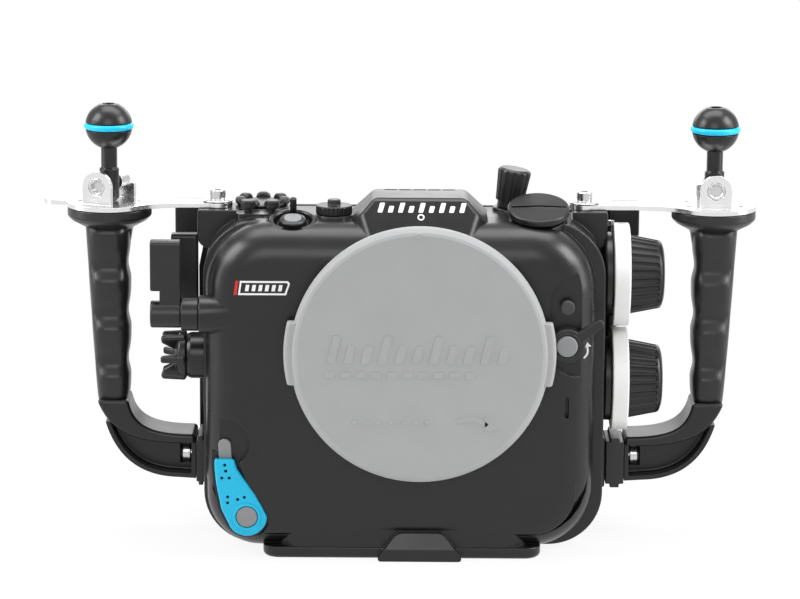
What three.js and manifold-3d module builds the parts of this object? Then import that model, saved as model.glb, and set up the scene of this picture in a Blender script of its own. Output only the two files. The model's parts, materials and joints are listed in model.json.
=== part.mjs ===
// Underwater camera housing with two handles, in millimetres, +Z up.
// X runs to the right as the housing is seen from the front, and the front looks along -Y.
// The origin lies on the underside of the foot, midway between the two handles.
import * as THREE from "three";
import { mergeVertices } from "three/addons/utils/BufferGeometryUtils.js";
import Module from "manifold-3d";

const solids = await Module();
solids.setup();

// Fits that every piece shares
const seatGap = 0.3;
const runningGap = 0.5;
const overrun = 4;

// How finely round things are divided
const fineSides = 24;
const roundSides = 12;
const smallSides = 8;
const boreSides = 8;
const cornerSteps = 4;
const edgeSteps = 3;
const curveSteps = 4;

// Front shell: a deep cast box, open at the back
const bodyWidth = 208;
const bodyHeight = 171;
const bodyOffset = -6;
const footHeight = 9.5;
const frontReach = 56;
const splitReach = 30;
const bodyCornerRadius = 35;
const bodyEdgeRadius = 20;
const bodyWall = 7;
const latchCornerRadius = 62;
const bodyLeft = bodyOffset - bodyWidth / 2;
const bodyRight = bodyOffset + bodyWidth / 2;
const bodyTop = footHeight + bodyHeight;
const bodyFront = -frontReach;

// Viewfinder hump on the top of the front shell
const humpTopWidth = 49;
const humpBaseWidth = 78;
const humpHeight = 13;
const humpCentre = 4;
const humpFrontSlope = 11;
const humpEdge = 5;
const ventCount = 5;
const ventLength = 7;
const ventWidth = 2.2;
const ventDepth = 1.4;
const ventY = -22;

// The top falls towards the back: the deck from behind its controls, the hump from behind its vents
const deckFallStart = 8;
const humpFallStart = -18;
const splitFall = 3.5;
const doorFall = 8;

// Foot that the housing stands on
const footWidth = 149;
const footDepth = 82;
const footCentreX = -4.5;
const footCentreY = -14;
const footCorner = 8;
const noseWidth = 59;
const noseReach = 6;
const footSlope = 11;
const footFaceHeight = 6;
const soleHeight = 13;
const noseCentre = 8.5;
const noseInset = 3;

// Port opening, its bayonet ring and the cap that closes it
const portX = 4.4;
const portZ = 115;
const portBore = 60;
const ringFlangeRadius = 64.5;
const ringFlangeThickness = 3;
const ringDepth = 7;
const ringBore = 52;
const capRadius = 67.5;
const capThickness = 10;
const capEdge = 4;
const capTabReach = 4.5;
const capTabRadius = capRadius + capTabReach;
const capTabHeight = 34;
const capTabThickness = 4.6;
const capPlugDepth = 7;
const sealSection = 3.4;

// Shelf cut into the front for the lens release and the port lock
const shelfDrop = 4;
const shelfTop = 156;
const shelfBottom = 100.5;
const lockGap = 10.3;
const lockX = portX + capRadius + lockGap;
const lockHubRadius = 9.2;
const shelfLeft = lockX - lockHubRadius;
const shelfCorner = 16;
const releaseShift = 0.1;
const releaseX = lockX + releaseShift;
const releaseZ = 138.6;
const releaseRadius = 3.8;
const releaseHeight = 6.5;
const releaseTravel = 2;
const lockZ = 118.5;
const lockHubHeight = 9;
const lockButtonRadius = 5.6;
const lockButtonDepth = 4.2;
const lockButtonProud = 1;
const lockArmWidth = 5;
const lockArmReach = 21.6;
const lockArmThickness = 4;
const lockArmDeg = 35;
const pinRadius = 2;

// Rotary latch at the lower left corner
const latchX = -87.4;
const latchZ = 23.6;
const latchPivotRadius = 10.8;
const latchReach = 34;
const latchTipWidth = 10.7;
const latchThickness = 5.5;
const latchLeanDeg = 20.5;
const latchDrop = 4;
const latchRim = 3;
const latchPocketRadius = 13;
const latchBellyShare = 0.42;
const latchNeckShare = 0.66;
const latchRimWidth = 1.5;
const latchDiscRadius = 5.65;
const latchShaftRadius = 3.2;
const camReach = 9.2;
const camWidth = 8;
const camThickness = 5;
const camDepth = 6;
const camPocketRadius = 10.2;
const safetyWidth = 6.8;
const safetyThickness = 2.2;
const safetyLength = 26;
const safetyProud = 10.4;
const safetyTravel = 3;

// Rear shell: the door, hinged on the right
const rearMargin = 7;
const rearOffset = 1;
const rearDepth = 28;
const rearEdgeRadius = 9;
const rearCornerRadius = 40;
const rearWall = 6;
const rearDrop = 3;
const rearGap = 0.5;
const windowWidth = 100;
const windowHeight = 66;
const windowX = 22;
const windowZ = 103.5;
const windowLip = 4;
const windowThickness = 3;
const windowCorner = 6;
const hingeRadius = 4;
const hingePinRadius = 1.8;
const knuckleLength = 24;
const knuckleCount = 4;
const hingeZ = 69.5;
const webThickness = 3.4;
const rimSealInset = 4.6;
const rimSealWidth = 3;
const rimSealDepth = 2.6;

// Rear controls
const rearButtonCount = 3;
const rearButtonRadius = 5;
const rearButtonPitch = 17;
const rearButtonX = -76;
const rearButtonZ = 95.5;
const rearButtonHeight = 4.5;
const rearButtonTravel = 2;
const rearDialRadius = 13;
const rearDialHeight = 9;
const rearDialZ = 65.5;
const rearDialRibCount = 20;
const thumbWidth = 13;
const thumbHeight = 23;
const thumbDepth = 18;
const thumbHubRadius = 6;
const thumbArmThickness = 5;
const thumbHubInset = 13;
const thumbHubDrop = 26;
const thumbRise = 2;

// Side knobs on the right, one above the other
const knobRingRadius = 28;
const knobRingWidth = 8.7;
const knobRingGap = 1.8;
const knobBaseRadius = 21.5;
const knobTipRadius = 18;
const knobLength = 19;
const knobRibCount = 28;
const knobRibDepth = 1.3;
const knobHubRadius = 14;
const knobShaftRadius = 4;
const knobBearingRadius = 22.8;
const knobBearingWidth = 10;
const knobNeckRadius = 10.5;
const knobY = -5;
const knobMidZ = 117.5;
const gearRadius = 8;
const gearWidth = 6;
const gearToothCount = 18;
const gearToothDepth = 1.6;

// Finger levers and lobed dial on the left
const shutterLeverZ = 131.5;
const rearLeverZ = 122;
const leverBushRadius = 8.85;
const leverBushWidth = 9.1;
const leverBushReach = 3;
const leverHubRadius = 7.25;
const leverHubWidth = 15;
const leverPaddleWidth = 16;
const leverPaddleDepth = 9;
const leverPaddleFoot = 13;
const leverPaddleHeight = 27;
const leverNeckWidth = 9;
const leverNeckInset = 5;
const leverShaftRadius = 3.2;
const fairingRadius = 10;
const fairingLength = 18;
const rearLeverY = 3;
const rearLeverWidth = 14.5;
const rearLeverFoot = 9;
const rearLeverHeight = 35;
const sideDialZ = 103.5;
const sideDialY = -20;
const sideDialRadius = 14;
const sideDialThickness = 6;
const sideDialLobe = 8;
const sideDialLobeCount = 6;
const sideDialBossRadius = 12.5;
const sideDialBossWidth = 10.5;
const lobeWidth = 4.6;

// Controls on the top left
const deckRise = 1;
const modeDialInset = 29;
const modeDialX = bodyLeft + modeDialInset;
const modeDialY = 6;
const modeDialRadius = 14.5;
const modeDialThickness = 5;
const modeDialLobe = 8;
const modeDialLobeCount = 7;
const recordInset = 46.5;
const recordX = bodyLeft + recordInset;
const recordY = -33;
const recordTiltDeg = 16;
const recordRadius = 6.65;
const recordHeight = 5.5;
const recordTravel = 2;
const recordDrop = 3.5;
const zoomRingRadius = 12.5;
const zoomRingWidth = 2.8;
const zoomRingHeight = 2.4;
const zoomCollarWall = 1.2;
const zoomPostHeight = 9;
const zoomPostRadius = 2.2;
const zoomSpokeWidth = 2.4;
const zoomSpokeCount = 3;
const topDialGap = 6.8;
const topDialX = humpCentre - humpBaseWidth / 2 - topDialGap;
const topDialY = -20;
const topDialRadius = 9.75;
const topDialThickness = 5;
const topDialCapRadius = 3.4;
const topDialCapHeight = 3;
const topDialRibCount = 24;
const postSpread = 13;
const postInset = 28.5;
const postX = bodyLeft + postInset;
const postY = -17;
const postRadius = 3.6;
const postHeight = 6;
const postTravel = 2;

// Controls and plug on the top right
const pullKnobGap = 9;
const pullKnobX = humpCentre + humpBaseWidth / 2 + pullKnobGap;
const pullKnobY = 0;
const pullKnobLeanDeg = 9;
const pullKnobBaseRadius = 7.6;
const pullKnobTipRadius = 9;
const pullKnobHeight = 18;
const pullKnobRibCount = 14;
const pullKnobRibDepth = 0.9;
const pullKnobCollarRadius = 6.4;
const pullKnobCollarHeight = 4;
const pullKnobRise = 1;
const plugInset = 30.7;
const plugX = bodyRight - plugInset;
const plugY = -28;
const plugTiltDeg = 18;
const plugRadius = 16.5;
const plugThickness = 6;
const plugSlotWidth = 1.8;
const plugSlotDepth = 1.6;
const plugRise = 2;

// Stays that tie the handles to the shell
const stayThickness = 2.5;
const stayWidth = 13;
const stayEndRadius = 8;
const stayDiscRadius = 23;
const stayBlockWidth = 21;
const stayBlockDepth = 24;
const stayBlockHeight = 20;
const stayBlockReach = 5.5;
const stayBlockTaper = 8;
const tongueReach = 14.5;
const tongueWidth = 16;
const tongueSweepDeg = 17;
const stayHoleRadius = 1.6;
const stayHoleSpread = 14;
const staySlotInset = 11;
const staySlotLength = 3.6;
const staySlotWidth = 1.4;
const earWidth = 17;
const earGap = 25;
const earHeight = 18;
const leftEarTurnDeg = 23;
const screwRadius = 2.5;
const screwHeadRadius = 4.25;
const screwHeadHeight = 5;
const washerRadius = 8.3;
const washerThickness = 1.2;
const socketRadius = 2.3;
const socketDepth = 2.5;
const screwGrip = 12;

// Ball stems that carry lights
const ballRadius = 12.7;
const ballRise = 31.5;
const ballFlatShare = 0.93;
const ballRingSection = 1.75;
const ballRingReach = 11.7;
const neckRadius = 4.35;
const collarRadius = 5.3;
const collarRise = 8.2;
const stemBoltRadius = 2.6;
const stemBoltHeadRadius = 4.9;
const hexSocketRadius = 3.6;
const hexSocketDepth = 5;
const stemTipBevel = 0.8;
const ballArcSteps = 4;

// Handles
const leftHandReach = 53.5;
const rightHandReach = 65;
const gripTopWidth = 24;
const gripTipWidth = 17;
const gripDepth = 31;
const gripTipDepth = 27;
const scallopDepth = 2.6;
const scallopCount = 3.65;
const scallopStartShare = 0.14;
const innerScallopShare = 0.5;
const gripSwellShare = 0.7;
const gripSquareShare = 0.8;
const gripStationCount = 15;
const gripDish = 10;
const armTopZ = 76.5;
const armLowZ = 33.3;
const armHeight = 23;
const armDepth = 28;
const armFlange = 4.5;
const armBackWall = 6;
const armEndWall = 3.2;
const armMidZ = 43;
const armBoltZ = 44.5;
const armRootReach = 46.5;
const armHeelShare = 0.24;
const armKneeShare = 0.6;
const armHipShare = 0.3;
const armThroatShare = 0.4;
const armThroatReachShare = 0.85;
const padHeight = 27.5;
const leftPadWidth = 5;
const rightPadWidth = 10;
const padStep = 2;
const armBoltRadius = 3;
const armBoltHeadRadius = 5.85;
const armBoltHeadHeight = 4;
const armBoltGrip = 6;

// Inside
const trayEndGap = 56;
const trayWidth = bodyWidth - 2 * trayEndGap;
const trayDepth = 50;
const trayThickness = 5;
const trayShift = 18;
const trayX = bodyOffset + trayShift;
const trayY = -8;
const traySlotWidth = 7;
const boardWidth = 36;
const boardHeight = 17;
const boardThickness = 1.6;
const boardZ = 136;
const chipSize = 7;
const chipHeight = 1.4;
const batteryLength = 34;
const batteryHeight = 26;
const batteryThickness = 13;
const batteryZ = 59.5;

// Places worked out from the sizes above
const quarterTurn = Math.PI / 2;
const fullTurn = 2 * Math.PI;
const cavityFront = bodyFront + bodyWall;
const rearFace = splitReach + rearGap;
const rearBack = rearFace + rearDepth;
const rearLeft = bodyLeft - rearMargin;
const rearRight = bodyRight + rearMargin;
const rearTop = bodyTop + thumbRise;
const rearBottom = footHeight - rearDrop;
const hingeX = rearRight + hingeRadius + rearGap;
const hingeY = (splitReach + rearFace) / 2;
const shelfY = bodyFront + shelfDrop;
const latchSeatY = bodyFront + latchDrop;
const rearLeverStart = stayBlockReach + runningGap;
const deckZ = bodyTop + deckRise;
const leftHandleX = bodyLeft - leftHandReach;
const rightHandleX = bodyRight + rightHandReach;
const stayZ = deckZ + seatGap;
const stayTopZ = stayZ + stayThickness;
const stemAxisZ = stayTopZ + earHeight - earWidth / 2;
const knobPitch = 2 * knobRingRadius + knobRingGap;

const finishes = {
  casting: { color: 0x1c1c1d, roughness: 0.45, metalness: 0.35 },
  moulding: { color: 0x232324, roughness: 0.6, metalness: 0 },
  rubber: { color: 0x1a1a1a, roughness: 0.85, metalness: 0 },
  cap: { color: 0xa6a7a8, roughness: 0.55, metalness: 0 },
  grey: { color: 0x8f9092, roughness: 0.5, metalness: 0 },
  blue: { color: 0x1aa7d8, roughness: 0.45, metalness: 0 },
  white: { color: 0xf2f2f0, roughness: 0.4, metalness: 0 },
  steel: { color: 0xd8d9dc, roughness: 0.25, metalness: 0.95 },
  glass: { color: 0x30363b, roughness: 0.08, metalness: 0 },
  board: { color: 0x1d5a38, roughness: 0.6, metalness: 0 },
};

const housing = new THREE.Group();

// Adds one named piece with a material of its own, placed in its group.
function addPiece(name, geometry, finish, place = {}) {
  const mesh = new THREE.Mesh(outward(geometry), new THREE.MeshStandardMaterial(finishes[finish]));
  mesh.name = name;
  mesh.position.set(...(place.at ?? [0, 0, 0]));
  mesh.rotation.set(...(place.turn ?? [0, 0, 0]));
  (place.group ?? housing).add(mesh);
  return mesh;
}

// Merges shared corners and drops the flat triangles that meet at a pole.
function welded(geometry) {
  const bare = geometry.clone();
  bare.deleteAttribute("normal");
  bare.deleteAttribute("uv");
  const merged = mergeVertices(bare);
  const corners = merged.index.array;
  const kept = [];
  for (let first = 0; first < corners.length; first += 3) {
    const [a, b, c] = [corners[first], corners[first + 1], corners[first + 2]];
    if (a !== b && b !== c && c !== a) {
      kept.push(a, b, c);
    }
  }
  merged.setIndex(kept);
  return merged;
}

// Turns every triangle round when the body was built inside out.
function outward(geometry) {
  const shape = welded(geometry);
  const spots = shape.attributes.position;
  const corners = Array.from(shape.index.array);
  const [a, b, c] = [new THREE.Vector3(), new THREE.Vector3(), new THREE.Vector3()];
  let volume = 0;
  for (let first = 0; first < corners.length; first += 3) {
    a.fromBufferAttribute(spots, corners[first]);
    b.fromBufferAttribute(spots, corners[first + 1]);
    c.fromBufferAttribute(spots, corners[first + 2]);
    volume += a.dot(b.cross(c));
  }
  if (volume < 0) {
    corners.reverse();
  }
  shape.setIndex(corners);
  return shape;
}

function toSolid(geometry) {
  const shape = outward(geometry);
  const vertProperties = new Float32Array(shape.attributes.position.array);
  const triVerts = new Uint32Array(shape.index.array);
  return new solids.Manifold(new solids.Mesh({ numProp: 3, vertProperties, triVerts }));
}

function toGeometry(solid) {
  const mesh = solid.getMesh();
  const geometry = new THREE.BufferGeometry();
  geometry.setAttribute("position", new THREE.BufferAttribute(mesh.vertProperties, 3));
  geometry.setIndex(Array.from(mesh.triVerts));
  return geometry;
}

function joined(...geometries) {
  return toGeometry(geometries.map(toSolid).reduce((whole, next) => whole.add(next)));
}

function shared(first, second) {
  return toGeometry(toSolid(first).intersect(toSolid(second)));
}

function cut(geometry, ...tools) {
  return toGeometry(tools.map(toSolid).reduce((whole, next) => whole.subtract(next), toSolid(geometry)));
}

// Body turned about +Z from a profile of radius and height.
function turned(profile, segments = roundSides) {
  const points = profile.map(([radius, height]) => new THREE.Vector2(radius, height));
  return new THREE.LatheGeometry(points, segments).rotateX(quarterTurn);
}

function rod(radius, from, to, segments = roundSides) {
  return turned([[0, from], [radius, from], [radius, to], [0, to]], segments);
}

// Hole tool for a pin of the given radius, clear of it on every flat.
function bore(radius, from, to, sides = boreSides) {
  return rod((radius + seatGap) / Math.cos(Math.PI / sides), from, to, sides);
}

function tube(outer, inner, from, to, segments = roundSides) {
  return turned([[inner, from], [outer, from], [outer, to], [inner, to], [inner, from]], segments);
}

function pointedRight(geometry) {
  return geometry.rotateY(quarterTurn);
}

function pointedLeft(geometry) {
  return geometry.rotateY(-quarterTurn);
}

function pointedForward(geometry) {
  return geometry.rotateX(quarterTurn);
}

function pointedBack(geometry) {
  return geometry.rotateX(-quarterTurn);
}

function block(x, y, z) {
  const box = new THREE.BoxGeometry(x[1] - x[0], y[1] - y[0], z[1] - z[0]);
  return box.translate((x[0] + x[1]) / 2, (y[0] + y[1]) / 2, (z[0] + z[1]) / 2);
}

// Closed outline from corners [x, y, radius], each rounded by a true arc.
function filleted(corners) {
  const shape = new THREE.Shape();
  corners.forEach(([x, y, radius], place) => {
    const corner = new THREE.Vector2(x, y);
    const previous = corners[(place + corners.length - 1) % corners.length];
    const next = corners[(place + 1) % corners.length];
    const back = new THREE.Vector2(previous[0], previous[1]).sub(corner).normalize();
    const ahead = new THREE.Vector2(next[0], next[1]).sub(corner).normalize();
    const half = Math.acos(back.dot(ahead)) / 2;
    const start = corner.clone().addScaledVector(back, radius / Math.tan(half));
    const end = corner.clone().addScaledVector(ahead, radius / Math.tan(half));
    const towards = back.clone().add(ahead).normalize();
    const centre = corner.clone().addScaledVector(towards, radius / Math.sin(half));
    shape[place ? "lineTo" : "moveTo"](start.x, start.y);
    if (radius > 0) {
      const from = Math.atan2(start.y - centre.y, start.x - centre.x);
      const to = Math.atan2(end.y - centre.y, end.x - centre.x);
      shape.absarc(centre.x, centre.y, radius, from, to, back.cross(ahead) > 0);
    }
  });
  shape.closePath();
  return shape;
}

function rectangle(width, height, radius, x = 0, y = 0) {
  const [left, right] = [x - width / 2, x + width / 2];
  const [low, high] = [y - height / 2, y + height / 2];
  return filleted([[left, low, radius], [right, low, radius], [right, high, radius], [left, high, radius]]);
}

function slab(shape, from, to, curveSegments = 2) {
  const options = { depth: to - from, bevelEnabled: false, curveSegments };
  return new THREE.ExtrudeGeometry(shape, options).translate(0, 0, from);
}

// Outline drawn in X and Z, thick along Y.
function frontSlab(shape, from, to, curveSegments) {
  return slab(shape, -to, -from, curveSegments).rotateX(quarterTurn);
}

// Outline drawn in Y and Z, thick along X.
function sideSlab(shape, from, to, curveSegments) {
  return slab(shape, from, to, curveSegments).rotateX(quarterTurn).rotateZ(quarterTurn);
}

// Skin over rings that hold the same number of points, closed by a fan at each end.
function loft(rings) {
  const count = rings[0].length;
  const spots = rings.flat();
  const corners = [];
  for (let row = 0; row + 1 < rings.length; row += 1) {
    for (let step = 0; step < count; step += 1) {
      const next = (step + 1) % count;
      const [a, b] = [row * count + step, row * count + next];
      corners.push(a, b, b + count, a, b + count, a + count);
    }
  }
  [[rings[0], 0], [rings[rings.length - 1], (rings.length - 1) * count]].forEach(([ring, first], last) => {
    const middle = new THREE.Vector3();
    ring.forEach((spot) => middle.add(spot));
    spots.push(middle.divideScalar(count));
    for (let step = 0; step < count; step += 1) {
      const pair = [first + step, first + ((step + 1) % count)];
      corners.push(spots.length - 1, ...(last ? pair : pair.reverse()));
    }
  });
  const geometry = new THREE.BufferGeometry();
  geometry.setFromPoints(spots);
  geometry.setIndex(corners);
  return geometry;
}

// Rounded rectangle round a frame, drawn in from it by an inset, in the plane at y.
function frameRing(frame, inset, y) {
  const corners = [
    [frame.left, frame.bottom, frame.latchCorner ?? frame.corner, 1, 1, 2],
    [frame.right, frame.bottom, frame.corner, -1, 1, 3],
    [frame.right, frame.top, frame.corner, -1, -1, 0],
    [frame.left, frame.top, frame.corner, 1, -1, 1],
  ];
  return corners.flatMap(([x, z, radius, inX, inZ, firstQuarter]) => {
    const arc = [];
    for (let step = 0; step <= cornerSteps; step += 1) {
      const angle = (firstQuarter + step / cornerSteps) * quarterTurn;
      const reach = Math.max(radius - inset, 0);
      const centreX = x + inX * Math.max(radius, inset);
      const centreZ = z + inZ * Math.max(radius, inset);
      arc.push(new THREE.Vector3(centreX + reach * Math.cos(angle), y, centreZ + reach * Math.sin(angle)));
    }
    return arc;
  });
}

// Rings of a box whose edge is rounded where it starts, from y to endY.
function roundedBox(frame, inset, edge, y, endY) {
  const rings = [];
  const towards = Math.sign(endY - y);
  for (let step = 0; step <= edgeSteps; step += 1) {
    const angle = (step / edgeSteps) * quarterTurn;
    const drawnIn = inset + edge * (1 - Math.sin(angle));
    rings.push(frameRing(frame, drawnIn, y + towards * edge * (1 - Math.cos(angle))));
  }
  rings.push(frameRing(frame, inset, endY));
  return loft(rings);
}

// Plain ring that follows a frame between two insets.
function frameBand(frame, outerInset, innerInset, from, to) {
  return cut(
    loft([frameRing(frame, outerInset, from), frameRing(frame, outerInset, to)]),
    loft([frameRing(frame, innerInset, from - overrun), frameRing(frame, innerInset, to + overrun)]),
  );
}

// Ring of points about +Z that swings between two radii, for ribs, teeth and knurls.
function ribbedRing(outer, depth, count, z) {
  const heights = [0, 1];
  return Array.from({ length: heights.length * count }, (_, step) => {
    const angle = (step / (heights.length * count)) * fullTurn;
    const radius = outer - depth * heights[step % heights.length];
    return new THREE.Vector3(radius * Math.cos(angle), radius * Math.sin(angle), z);
  });
}

// Ribbed drum through [radius, height] stations.
function ribbedDrum(stations, depth, count) {
  return loft(stations.map(([radius, z]) => ribbedRing(radius, depth, count, z)));
}

// Dial with fingers that stand up round its rim.
function lobedDial(radius, thickness, lobe, count) {
  const lobes = Array.from({ length: count }, (_, step) => {
    const shape = rectangle(lobeWidth, lobeWidth * 1.6, lobeWidth / 2.2, 0, radius - lobeWidth);
    return slab(shape, 0, thickness + lobe, 1).rotateZ((step / count) * fullTurn);
  });
  return joined(rod(radius, 0, thickness), ...lobes);
}

// The shells

const shellFrame = {
  left: bodyLeft, right: bodyRight, bottom: footHeight, top: bodyTop, corner: bodyCornerRadius,
};
const cavityFrame = { ...shellFrame, latchCorner: latchCornerRadius + bodyWall };
const rearFrame = {
  left: rearLeft, right: rearRight, bottom: rearBottom, top: rearTop, corner: rearCornerRadius,
};
const rearCavityFrame = {
  ...rearFrame, top: rearTop - splitFall - doorFall, latchCorner: latchCornerRadius + rearWall,
};

const radians = (degrees) => THREE.MathUtils.degToRad(degrees);
const leverAxisY = bodyFront + fairingRadius + runningGap;
const recordSeat = [recordX, recordY, bodyTop - recordDrop];
const recordTilt = radians(recordTiltDeg);
const plugSeat = [plugX, plugY, bodyTop + plugRise];
const plugTilt = radians(plugTiltDeg);
const pullKnobSeat = [pullKnobX, pullKnobY, bodyTop + pullKnobRise];
const pullKnobLean = radians(pullKnobLeanDeg);
const upperKnobZ = knobMidZ + knobPitch / 2;
const lowerKnobZ = knobMidZ - knobPitch / 2;
const handles = [
  { side: "left", out: -1, x: leftHandleX, bodySide: bodyLeft, pad: leftPadWidth, turn: radians(leftEarTurnDeg) },
  { side: "right", out: 1, x: rightHandleX, bodySide: bodyRight, pad: rightPadWidth, turn: 0 },
];

// Wedge that takes the material above a fall from one [y, z] to another.
function above(start, end, tallest) {
  const outline = filleted([[...start, 0], [...end, 0], [end[0], tallest, 0], [start[0], tallest, 0]]);
  return sideSlab(outline, rearLeft - overrun, rearRight + overrun);
}

// Section of the hump at one depth, in X and Z.
function humpRing(y, widthLoss, top) {
  const base = bodyTop - 2 * bodyWall;
  const [halfTop, halfBase] = [humpTopWidth / 2 - widthLoss, humpBaseWidth / 2 - widthLoss];
  const outline = filleted([
    [humpCentre - halfBase, base, 0],
    [humpCentre + halfBase, base, 0],
    [humpCentre + halfBase, bodyTop - humpEdge, humpEdge],
    [humpCentre + halfTop, top, humpEdge],
    [humpCentre - halfTop, top, humpEdge],
    [humpCentre - halfBase, bodyTop - humpEdge, humpEdge],
  ]);
  return outline.getPoints(3).slice(0, -1).map((spot) => new THREE.Vector3(spot.x, y, spot.y));
}

function hump() {
  const brow = bodyFront + bodyWall + humpFrontSlope;
  return loft([
    humpRing(bodyFront + bodyWall / 2, humpFrontSlope, bodyTop - bodyWall / 2),
    humpRing(brow, humpEdge, bodyTop + humpHeight - humpEdge / 2),
    humpRing(brow + humpEdge, 0, bodyTop + humpHeight),
    humpRing(splitReach, 0, bodyTop + humpHeight),
  ]);
}

function humpVents() {
  const pitch = (humpTopWidth - 2 * humpEdge) / ventCount;
  return Array.from({ length: ventCount }, (_, step) => {
    const x = humpCentre + (step - (ventCount - 1) / 2) * pitch;
    const top = bodyTop + humpHeight;
    return slab(rectangle(ventLength, ventWidth, ventWidth / 2.2, x, ventY), top - ventDepth, top + overrun, 1);
  });
}

// Foot with the nose that carries the front face down to the ground.
function footProfile(front, slope) {
  const back = footCentreY + footDepth / 2;
  return filleted([
    [back, 0, 0],
    [back, soleHeight, 0],
    [front + slope, soleHeight, 0],
    [front, footFaceHeight, noseInset],
    [front, 0, 0],
  ]);
}

function foot() {
  const front = footCentreY - footDepth / 2;
  const left = footCentreX - footWidth / 2;
  const sole = shared(
    slab(rectangle(footWidth, footDepth, footCorner, footCentreX, footCentreY), 0, soleHeight),
    sideSlab(footProfile(front, footSlope), left, left + footWidth),
  );
  const nose = sideSlab(footProfile(front - noseReach, footSlope + noseReach),
    noseCentre - noseWidth / 2, noseCentre + noseWidth / 2);
  return joined(sole, nose);
}

// Outline of the latch lever about its pivot, grown by a margin.
function latchShape(margin) {
  const wide = latchPivotRadius + margin;
  const half = latchTipWidth / 2 + margin;
  const tip = latchReach + margin;
  const shape = new THREE.Shape();
  shape.absarc(0, 0, wide, Math.PI, fullTurn, false);
  shape.bezierCurveTo(wide, tip * latchBellyShare, half, tip * latchNeckShare, half, tip);
  shape.lineTo(-half, tip);
  shape.bezierCurveTo(-half, tip * latchNeckShare, -wide, tip * latchBellyShare, -wide, 0);
  return shape;
}

function atLatch(geometry) {
  return geometry.rotateY(-radians(latchLeanDeg)).translate(latchX, 0, latchZ);
}

function latchPad() {
  return atLatch(frontSlab(latchShape(latchRim), latchSeatY, bodyFront + bodyEdgeRadius, curveSteps));
}

function latchRecess() {
  const pocketZ = latchReach + latchPocketRadius / 2;
  const lever = atLatch(frontSlab(latchShape(latchRim), bodyFront - overrun, latchSeatY, curveSteps));
  const pocket = atLatch(
    pointedForward(rod(latchPocketRadius, -latchSeatY, frontReach + overrun)).translate(0, 0, pocketZ),
  );
  return joined(lever, pocket);
}

// Blocks at the upper corners that the stays are screwed to.
function stayBlock({ out, bodySide }) {
  const outer = bodySide + out * stayBlockReach;
  const inner = outer - out * stayBlockWidth;
  const low = deckZ - stayBlockHeight;
  const outline = filleted([
    [inner, deckZ, 0],
    [inner, low, 0],
    [outer - out * stayBlockWidth / 2, low - stayBlockTaper, 0],
    [outer, low, stayBlockTaper],
    [outer, deckZ, seatGap],
  ]);
  return frontSlab(outline, -stayBlockDepth / 2, stayBlockDepth / 2);
}

function stayScrewX({ out, bodySide }) {
  return bodySide + out * (stayBlockReach - stayBlockWidth / 2);
}

// Boss on the side wall that the handle's pad is clamped to, ending where the pad starts.
function armBoss(handle) {
  const { out, bodySide } = handle;
  const z = [armMidZ - padHeight / 2, armMidZ + padHeight / 2];
  const x = [bodySide - out * 2 * bodyWall, bossEnd(handle)].sort((a, b) => a - b);
  return block(x, [-armDepth / 2, armDepth / 2], z);
}

function armRoot({ out, x }) {
  return x - out * armRootReach;
}

function padEnd(handle) {
  return armRoot(handle) - handle.out * seatGap;
}

function bossEnd(handle) {
  return padEnd(handle) - handle.out * (handle.pad + seatGap);
}

function deckBosses() {
  const low = bodyTop - bodyWall;
  const postBase = rectangle(postSpread + 3 * postRadius, 3 * postRadius, postRadius, postX, postY);
  return [
    rod(modeDialRadius, low, deckZ).translate(modeDialX, modeDialY, 0),
    rod(topDialRadius, low, deckZ).translate(topDialX, topDialY, 0),
    slab(postBase, low, deckZ),
    rod(pullKnobBaseRadius, -2 * bodyWall, 0).rotateY(pullKnobLean).translate(...pullKnobSeat),
    rod(plugRadius - plugSlotWidth, -2 * bodyWall, 0, roundSides).rotateX(plugTilt).translate(...plugSeat),
    rod(zoomRingRadius, -bodyWall, 0).rotateX(recordTilt).translate(...recordSeat),
  ];
}

// Tilted seats sunk into the front edge, so that the controls on them turn freely.
function tiltedSeats() {
  return [
    rod(zoomRingRadius + runningGap, 0, bodyEdgeRadius).rotateX(recordTilt).translate(...recordSeat),
    rod(plugRadius + runningGap, 0, bodyEdgeRadius, roundSides).rotateX(plugTilt).translate(...plugSeat),
  ];
}

function hingeKnuckle(place, webFrom, webY) {
  const pitch = knuckleLength + runningGap;
  const z = [hingeZ + place * pitch, hingeZ + place * pitch + knuckleLength];
  const barrel = rod(hingeRadius, z[0], z[1], smallSides).translate(hingeX, hingeY, 0);
  const web = block([webFrom, hingeX], webY, z);
  return joined(barrel, web);
}

function hingeBore() {
  const end = hingeZ + knuckleCount * (knuckleLength + runningGap);
  return bore(hingePinRadius, hingeZ - overrun, end + overrun).translate(hingeX, hingeY, 0);
}

function sideBore(radius, side, y, z) {
  const hole = bore(radius, -overrun, bodyWall + bodyCornerRadius);
  const turnedIn = side < 0 ? pointedRight(hole) : pointedLeft(hole);
  const start = side < 0 ? bodyLeft - fairingRadius : bodyRight + overrun;
  return turnedIn.translate(start, y, z);
}

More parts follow.
